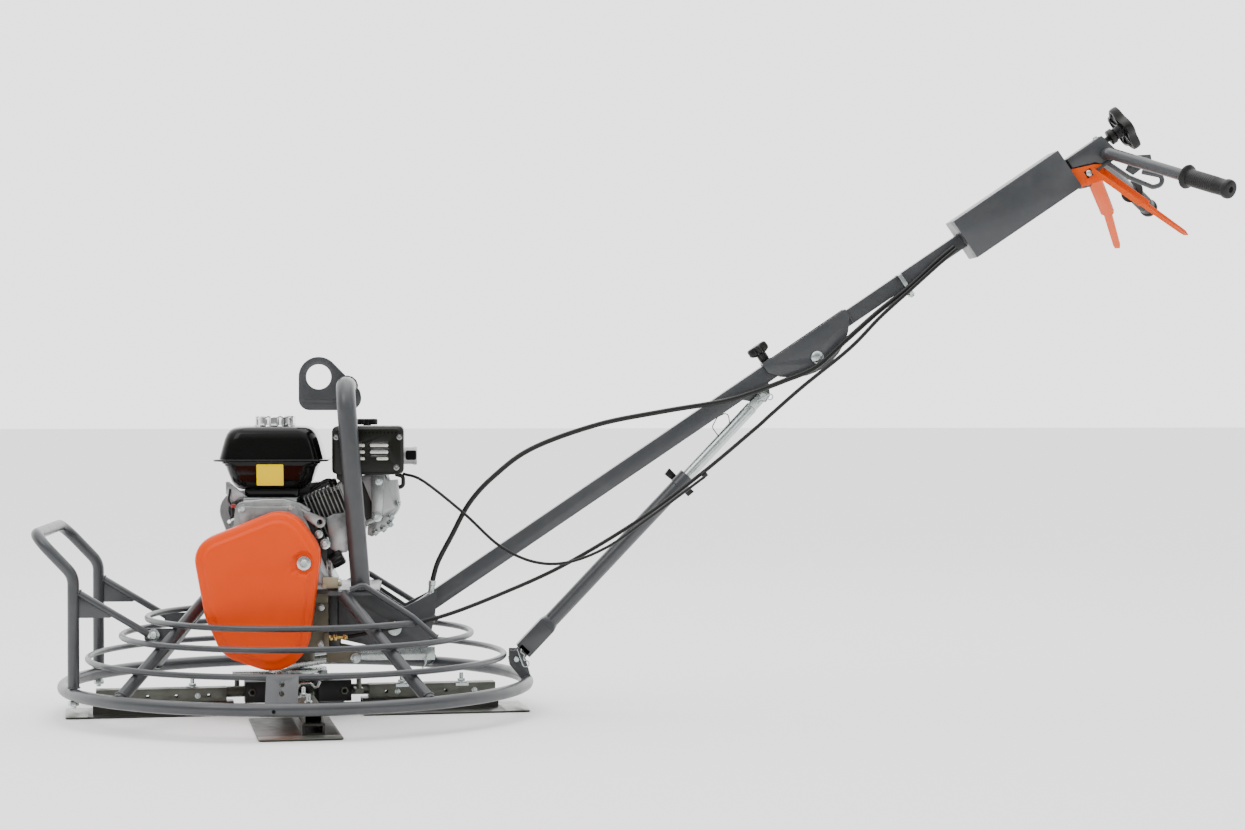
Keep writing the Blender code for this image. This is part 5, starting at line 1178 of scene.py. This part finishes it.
def make_handlebar():
    """Bent tube with flanged, ribbed rubber grips."""
    corners = [handlebar_point(-GRIP_END + 0.004), handlebar_point(-0.052), handlebar_point(0.052),
               handlebar_point(GRIP_END - 0.004)]
    piece("handlebar_finished", [pipe(rounded(corners, 0.030, 12), 0.0120, 28)], "powder_grey", "upper_handle",
          "grey_paint", ["handlebar"])
    for name, hand in (("near", -1), ("far", 1)):
        start = handlebar_point(hand * GRIP_START)
        end = handlebar_point(hand * GRIP_END)
        along = (end - start).normalized()
        length = (end - start).length
        profile = [(-0.0010, 0.0124), (-0.0006, 0.0200), (0.0010, 0.0235), (0.0035, 0.0245), (0.0060, 0.0235),
                   (0.0080, 0.0200), (0.0100, 0.0172)]
        for k in range(14):
            spot = 0.0120 + 0.0048 * k
            profile += [(spot, 0.0168), (spot + 0.0012, 0.0173), (spot + 0.0030, 0.0173), (spot + 0.0040, 0.0168)]
        profile = [pair for pair in profile if pair[0] < length - 0.014]
        profile += [(length - 0.0120, 0.0168), (length - 0.0105, 0.0188), (length - 0.0085, 0.0193),
                    (length - 0.0030, 0.0191), (length, 0.0180), (length + 0.0017, 0.0150),
                    (length + 0.0018, 0.0060), (length, 0.0050), (length - 0.0030, 0.0046)]
        piece(f"grip_{name}_finished", [turned(profile, start, along, 48)], "rubber_black", "upper_handle",
              "rubber", ["grip_" + name])
        # The grip's end hole is a dark disc of painted shade.
        hole = rod(end + along * 0.0005, end + along * 0.0014, 0.0050)
        piece(f"grip_vent_{name}", [hole], "painted_hole_shade", "upper_handle", "rubber")
    loop = [(1.637, -0.021, 1.108), (1.684, -0.021, 1.077), (1.734, -0.021, 1.057),
            (1.768, -0.021, 1.066), (1.748, -0.021, 1.081), (1.712, -0.021, 1.088)]
    piece("hand_guard_rod", [pipe(rounded(loop, 0.012, 8), 0.0050, 18)], "powder_grey", "upper_handle",
          "grey_paint")
    plate = slab([(1.704, 1.1256), (1.7429, 1.128), (1.7453, 1.1145), (1.7064, 1.085), (1.690, 1.095)], 0.030, 0.033)
    piece("head_plate", [plate], "powder_grey", "upper_handle", "grey_paint", (), 0.0008)


def channel_loops(stations, thickness):
    """A folded strip along stations of (centre, width direction, depth direction, width, flange)."""
    loops = []
    for centre, wide, deep, width, flange in stations:
        half = width / 2
        outer = [(-half, flange), (-half, 0.0), (half, 0.0), (half, flange)]
        inner = [(half - thickness, flange), (half - thickness, thickness), (thickness - half, thickness),
                 (thickness - half, flange)]
        loops.append([Vector(centre) + wide * a + deep * b for a, b in outer + inner])
    return loops


def make_stop_lever():
    """Orange lever of folded steel: a wide root, a step, and a narrow hooked tip."""
    pivot = on_handle(1.666, -0.043)
    shapes = [rod(pivot - SIDE * 0.034, pivot + SIDE * 0.034, 0.0050)]
    for hand in (-1, 1):
        root = Vector((1.6200, hand * 0.0290, 1.0830))
        knee = Vector((1.6830, hand * 0.150, 1.0100))
        tip = Vector((1.7340, hand * 0.272, 0.9460))
        run = (knee - root).normalized()
        last = (tip - knee).normalized()
        deep = SIDE * hand * 0.75 + Vector((0.35, 0, 0.25))
        deep = (deep - run * deep.dot(run)).normalized()
        wide = run.cross(deep).normalized()
        deep_tip = (deep - last * deep.dot(last)).normalized()
        wide_tip = last.cross(deep_tip).normalized()
        stations = [(root - run * 0.006, wide, deep, 0.0300, 0.0110), (root + run * 0.020, wide, deep, 0.0290, 0.0110),
                    (knee - run * 0.004, wide, deep, 0.0270, 0.0100),
                    (knee + last * 0.002, wide_tip, deep_tip, 0.0170, 0.0070),
                    (tip - last * 0.014, wide_tip, deep_tip, 0.0150, 0.0050), (tip, wide_tip, deep_tip, 0.0110, 0.0020)]
        shapes.append(loft(channel_loops(stations, 0.0020)))
        outline = [(1.6400, 0.0000), (1.6960, -0.0220), (1.7080, -0.0300), (1.7060, -0.0480), (1.6920, -0.0590),
                   (1.6480, -0.0460), (1.6400, -0.0340)]
        shapes.append(handle_plate(outline, hand * 0.0262, hand * 0.0286))
        shapes.append(rod(pivot + SIDE * hand * 0.0200, pivot + SIDE * hand * 0.0270, 0.0090))
    piece("stop_lever_finished", shapes, "orange_lever", "stop_lever", "orange_paint", ["stop_lever"], 0.0006)
    heads, holes = [], []
    for hand in (-1, 1):
        at = on_handle(1.6761, -0.0308, hand * 0.0287)
        # Dark square of painted shade for the window in the lever behind each bolt head.
        holes.append(bar(at, at + SIDE * hand * 0.0005, 0.0150, 0.0150, ABOVE))
        heads.append(turned([(0, 0.0062), (0.0012, 0.0066), (0.0030, 0.0052), (0.0040, 0.0026), (0.0042, 0.0005)],
                            at + SIDE * hand * 0.0004, SIDE * hand, 32))
    piece("stop_lever_bolt", heads, "zinc_bright", "stop_lever", "zinc")
    piece("stop_lever_window", holes, "painted_hole_shade", "stop_lever", "orange_paint")


def make_pitch_wheel():
    """Five-lobed star wheel with a dished web, hub sleeve and screw shaft."""
    hub = on_handle(1.793, 0.003)
    across, upward = frame_of(ALONG)
    count = 150

    def lobed(height, radius, depth):
        loop = []
        for k in range(count):
            angle = 2 * math.pi * k / count
            reach = 0.974 * (radius + depth * math.cos(5 * angle))
            loop.append(hub + ALONG * height + reach * (math.cos(angle) * across + math.sin(angle) * upward))
        return loop

    rim_levels = [(-0.0080, 0.0395, 0.0040), (-0.0085, 0.0430, 0.0046), (-0.0070, 0.0452, 0.0049),
                  (-0.0030, 0.0462, 0.0050), (0.0040, 0.0462, 0.0050), (0.0080, 0.0450, 0.0048),
                  (0.0092, 0.0425, 0.0044), (0.0086, 0.0392, 0.0040), (0.0050, 0.0380, 0.0038),
                  (-0.0050, 0.0380, 0.0038)]
    rim = loft([lobed(*level) for level in rim_levels], closed=True)
    web = loft([lobed(-0.0030, 0.0385, 0.0038), lobed(0.0010, 0.0385, 0.0038)])
    ribs = []
    for k in range(5):
        angle = 2 * math.pi * k / 5
        out = math.cos(angle) * across + math.sin(angle) * upward
        ribs.append(bar(hub + out * 0.008, hub + out * 0.040, 0.006, 0.013, ALONG))
    boss = turned([(-0.0220, 0.0120), (-0.0210, 0.0130), (-0.0100, 0.0130), (-0.0090, 0.0150), (0.0060, 0.0150),
                   (0.0100, 0.0130), (0.0120, 0.0080)], hub, ALONG, 40)
    sleeve = turned([(-0.0360, 0.0110), (-0.0350, 0.0160), (-0.0240, 0.0160), (-0.0235, 0.0120)], hub, ALONG, 40)
    shaft = rod(hub - ALONG * 0.125, hub - ALONG * 0.010, 0.0060)
    piece("pitch_wheel_finished", [rim, web, *ribs, boss, sleeve, shaft], "plastic_black", "pitch_wheel",
          "black_plastic", ["pitch_wheel"], 0.0006, 60)


# ---------------------------------------------------------------- strut and cables


def on_strut(along, above=0.0, side=0.0):
    """A point along the strut from its foot pin."""
    return STRUT_FOOT + STRUT_LINE * along + STRUT_NORMAL * above + SIDE * side


def make_strut():
    """Strut tubes with fine round walls, their pins and the locking wing."""
    sleeve = bar(on_strut(0.020), on_strut(0.092), 0.036, 0.036)
    taper = loft([[on_strut(0.092, a, y) for a, y in rounded_rectangle((-0.018, -0.018), (0.018, 0.018), 0.002, 6)],
                  [on_strut(0.104, a, y) for a, y in rounded_rectangle((-0.0158, -0.0158), (0.0158, 0.0158), 0.0150, 6)]])
    ears = [bar(on_strut(-0.011, 0, hand * 0.0155), on_strut(0.030, 0, hand * 0.0155), 0.005, 0.024, STRUT_NORMAL)
            for hand in (-1, 1)]
    tube = rod(on_strut(0.100), on_strut(0.505), 0.0155, 36, 0.0008)
    collar = turned([(0, 0.0155), (0.001, 0.0172), (0.0290, 0.0172), (0.0300, 0.0160)], on_strut(0.4752), STRUT_LINE, 36)
    piece("strut_outer_finished", [sleeve, taper, *ears, tube, collar], "powder_grey", "strut_outer", "grey_paint",
          ["strut_outer"], 0.0010, 60)
    inner = rod(on_strut(0.262), on_strut(0.696), 0.0124, 36, 0.0008)
    plates = [bar(on_strut(0.682, 0, hand * 0.0078), on_strut(0.7375, 0, hand * 0.0078), 0.0050, 0.020)
              for hand in (-1, 1)]
    heads = [turned([(0, 0.0072), (0.0040, 0.0072), (0.0052, 0.0060)], on_strut(0.7265, 0, hand * 0.0098),
                    SIDE * hand, 28) for hand in (-1, 1)]
    piece("strut_inner_finished", [inner, *plates, *heads], "zinc_bright", "strut_inner", "zinc",
          ["strut_inner"], 0.0006, 60)
    hub = [rod(on_strut(0.484, 0, 0.0132), on_strut(0.484, 0, 0.036), 0.0085, 28, 0.001),
           rod(on_strut(0.484, 0, 0.0200), on_strut(0.484, 0, 0.034), 0.0110, 28, 0.001)]
    for hand in (-1, 1):
        wing = [(-0.0055, 0.0060), (-0.0080, 0.0330), (0.0080, 0.0350), (0.0070, 0.0060)]
        hub.append(loft([[on_strut(0.484 + s, n * hand, y) for s, n in wing] for y in (0.0240, 0.0390)]))
    piece("strut_wing_knob_finished", hub, "plastic_black", "strut_wing_knob", "black_plastic",
          ["strut_wing_knob"], 0.0014, 60)


def smooth(points, spacing):
    """A smooth curve through the points, read off at even steps."""
    points = [Vector(point) for point in points]
    padded = [2 * points[0] - points[1]] + points + [2 * points[-1] - points[-2]]
    path = [points[0]]
    for a, b, c, d in zip(padded, padded[1:], padded[2:], padded[3:]):
        steps = max(1, round((c - b).length / spacing))
        for step in range(1, steps + 1):
            t = step / steps
            path.append(0.5 * (2 * b + (c - a) * t + (2 * a - 5 * b + 4 * c - d) * t ** 2
                               + (3 * b - a - 3 * c + d) * t ** 3))
    return path


CABLES = {
    "pitch_cable_lower": (0.0052, "machine_base", "lower_handle",
                          [(0.2700, -0.030, 0.262), (0.281, -0.031, 0.300), (0.308, -0.036, 0.352),
                           (0.345, -0.040, 0.420), (0.395, -0.042, 0.474), (0.470, -0.042, 0.528),
                           (0.600, -0.040, 0.575), (0.735, -0.038, 0.602), (0.855, -0.036, 0.622),
                           (0.9270, -0.0345, 0.6436)]),
    "pitch_cable_upper": (0.0052, "lower_handle", "upper_handle",
                          [(0.9270, -0.0345, 0.6436), (0.975, -0.036, 0.662), (1.040, -0.038, 0.690),
                           (1.100, -0.036, 0.742), (1.170, -0.030, 0.803), (1.232, -0.026, 0.852),
                           (1.290, -0.024, 0.905), (1.326, -0.024, 0.9345)]),
    "stop_cable_lower": (0.0040, "machine_base", "lower_handle",
                         [(0.104, -0.078, 0.156), (0.160, -0.092, 0.168), (0.285, -0.098, 0.196),
                          (0.412, -0.080, 0.242), (0.538, -0.060, 0.298), (0.690, -0.046, 0.388),
                          (0.812, -0.040, 0.478), (0.918, -0.0375, 0.5660), (0.9460, -0.0370, 0.5910)]),
    "stop_cable_upper": (0.0040, "lower_handle", "upper_handle",
                         [(0.9460, -0.0370, 0.5910), (1.012, -0.048, 0.650), (1.108, -0.052, 0.728),
                          (1.172, -0.043, 0.792), (1.232, -0.035, 0.845), (1.290, -0.034, 0.897),
                          (1.329, -0.034, 0.9300)]),
    "throttle_cable": (0.0030, "machine_base", "lower_handle",
                       [(0.212, -0.020, 0.477), (0.252, -0.040, 0.463), (0.332, -0.078, 0.401),
                        (0.402, -0.086, 0.337), (0.470, -0.086, 0.304), (0.540, -0.080, 0.302),
                        (0.620, -0.068, 0.332), (0.702, -0.060, 0.388), (0.815, -0.050, 0.4700)]),
}


def make_cables():
    """Cables drawn fine along their routes, with a tie and a ferrule."""
    for name, (radius, start_body, end_body, route) in CABLES.items():
        path = smooth(route, 0.008)
        made = piece(name + "_finished", [pipe(path, radius, 14)], "cable_sheath", None, "cable_black", [name])
        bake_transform(made)
    tie = turned([(0, 0.0062), (0.0005, 0.0078), (0.0110, 0.0078), (0.0115, 0.0062)], (0.8100, -0.0450, 0.4720),
                 (0.76, 0, 0.64), 20)
    piece("throttle_tie", [tie], "plastic_black", "lower_handle", "black_plastic")
    ferrule = [turned([(0, 0.0060), (0.001, 0.0072), (0.014, 0.0072), (0.015, 0.0062), (0.030, 0.0062),
                       (0.031, 0.0072), (0.040, 0.0072), (0.041, 0.0055)], (0.2655, -0.0295, 0.2230),
                      (0.11, 0, 1), 28),
               rod((0.262, -0.029, 0.196), (0.2655, -0.0295, 0.2240), 0.0030)]
    piece("pitch_cable_ferrule", ferrule, "zinc_bright", "machine_base", "zinc")


# ---------------------------------------------------------------- setting
DIM_ROOM = 0.35
BRIGHT_ROOM = 2.6


def make_camera():
    """Camera at the photograph's angle."""
    yaw, pitch = 0.064, 0.014
    data = bpy.data.cameras.new("camera")
    data.sensor_width = 36
    data.lens = 78.88
    camera = bpy.data.objects.new("camera", data)
    bpy.context.scene.collection.objects.link(camera)
    camera.location = ROTOR + Vector((0.301, -5.5, 0.671))
    look = Vector((math.sin(yaw) * math.cos(pitch), math.cos(yaw) * math.cos(pitch), -math.sin(pitch)))
    camera.rotation_euler = look.to_track_quat("-Z", "Y").to_euler()
    bpy.context.scene.camera = camera


def make_stage():
    """Pale floor, pale surroundings and soft lamps."""
    floor = loft([[(-30, -30, -0.02), (30, -30, -0.02), (30, 30, -0.02), (-30, 30, -0.02)],
                  [(-30, -30, -0.0005), (30, -30, -0.0005), (30, 30, -0.0005), (-30, 30, -0.0005)]])
    mesh = bpy.data.meshes.new("floor")
    floor.to_mesh(mesh)
    floor.free()
    plane = bpy.data.objects.new("floor", mesh)
    bpy.context.scene.collection.objects.link(plane)
    pale = bpy.data.materials.new("floor_white")
    pale.use_nodes = True
    pale.node_tree.nodes["Principled BSDF"].inputs["Base Color"].default_value = (0.93, 0.93, 0.93, 1)
    pale.node_tree.nodes["Principled BSDF"].inputs["Roughness"].default_value = 0.9
    mesh.materials.append(pale)
    world = bpy.data.worlds.new("studio")
    bpy.context.scene.world = world
    world.use_nodes = True
    make_sky(world.node_tree)
    for name, spot, size, power in (("key", (-2.4, -2.6, 3.4), 2.2, 45), ("fill", (3.2, -3.0, 2.4), 1.6, 14),
                                    ("top", (0.0, 0.4, 3.8), 2.6, 34), ("rim", (-0.4, 3.2, 2.6), 2.4, 14)):
        data = bpy.data.lights.new(name, "AREA")
        data.shape = "SQUARE"
        data.size = size
        data.energy = power
        lamp = bpy.data.objects.new(name, data)
        bpy.context.scene.collection.objects.link(lamp)
        lamp.location = spot
        lamp.rotation_euler = (Vector((0, 0, 0.4)) - Vector(spot)).to_track_quat("-Z", "Y").to_euler()


def make_sky(tree):
    """White surroundings behind and above the machine, dim ones in front of it."""
    where = tree.nodes.new("ShaderNodeTexCoord").outputs["Generated"]
    split = shade_node(tree, "ShaderNodeSeparateXYZ", Vector=where)
    behind = shade_node(tree, "ShaderNodeMapRange", Value=split.outputs["Y"], From_Min=-0.35, From_Max=0.55,
                        To_Min=DIM_ROOM, To_Max=BRIGHT_ROOM)
    above = shade_node(tree, "ShaderNodeMapRange", Value=split.outputs["Z"], From_Min=0.30, From_Max=0.90,
                       To_Min=0.0, To_Max=BRIGHT_ROOM)
    both = tree.nodes.new("ShaderNodeMath")
    both.operation = "MAXIMUM"
    tree.links.new(behind.outputs["Result"], both.inputs[0])
    tree.links.new(above.outputs["Result"], both.inputs[1])
    background = tree.nodes["Background"]
    background.inputs["Color"].default_value = (1.0, 1.0, 1.0, 1)
    tree.links.new(both.outputs["Value"], background.inputs["Strength"])


make_camera()
make_stage()
make_guard()
make_base()
make_carry_handle()
make_lifting_frame()
make_drive()
make_belt_cover()
make_engine()
make_tank()
make_muffler()
make_rotor()
make_pitch_pin()
make_handle()
make_handlebar()
make_stop_lever()
make_pitch_wheel()
make_strut()
make_cables()
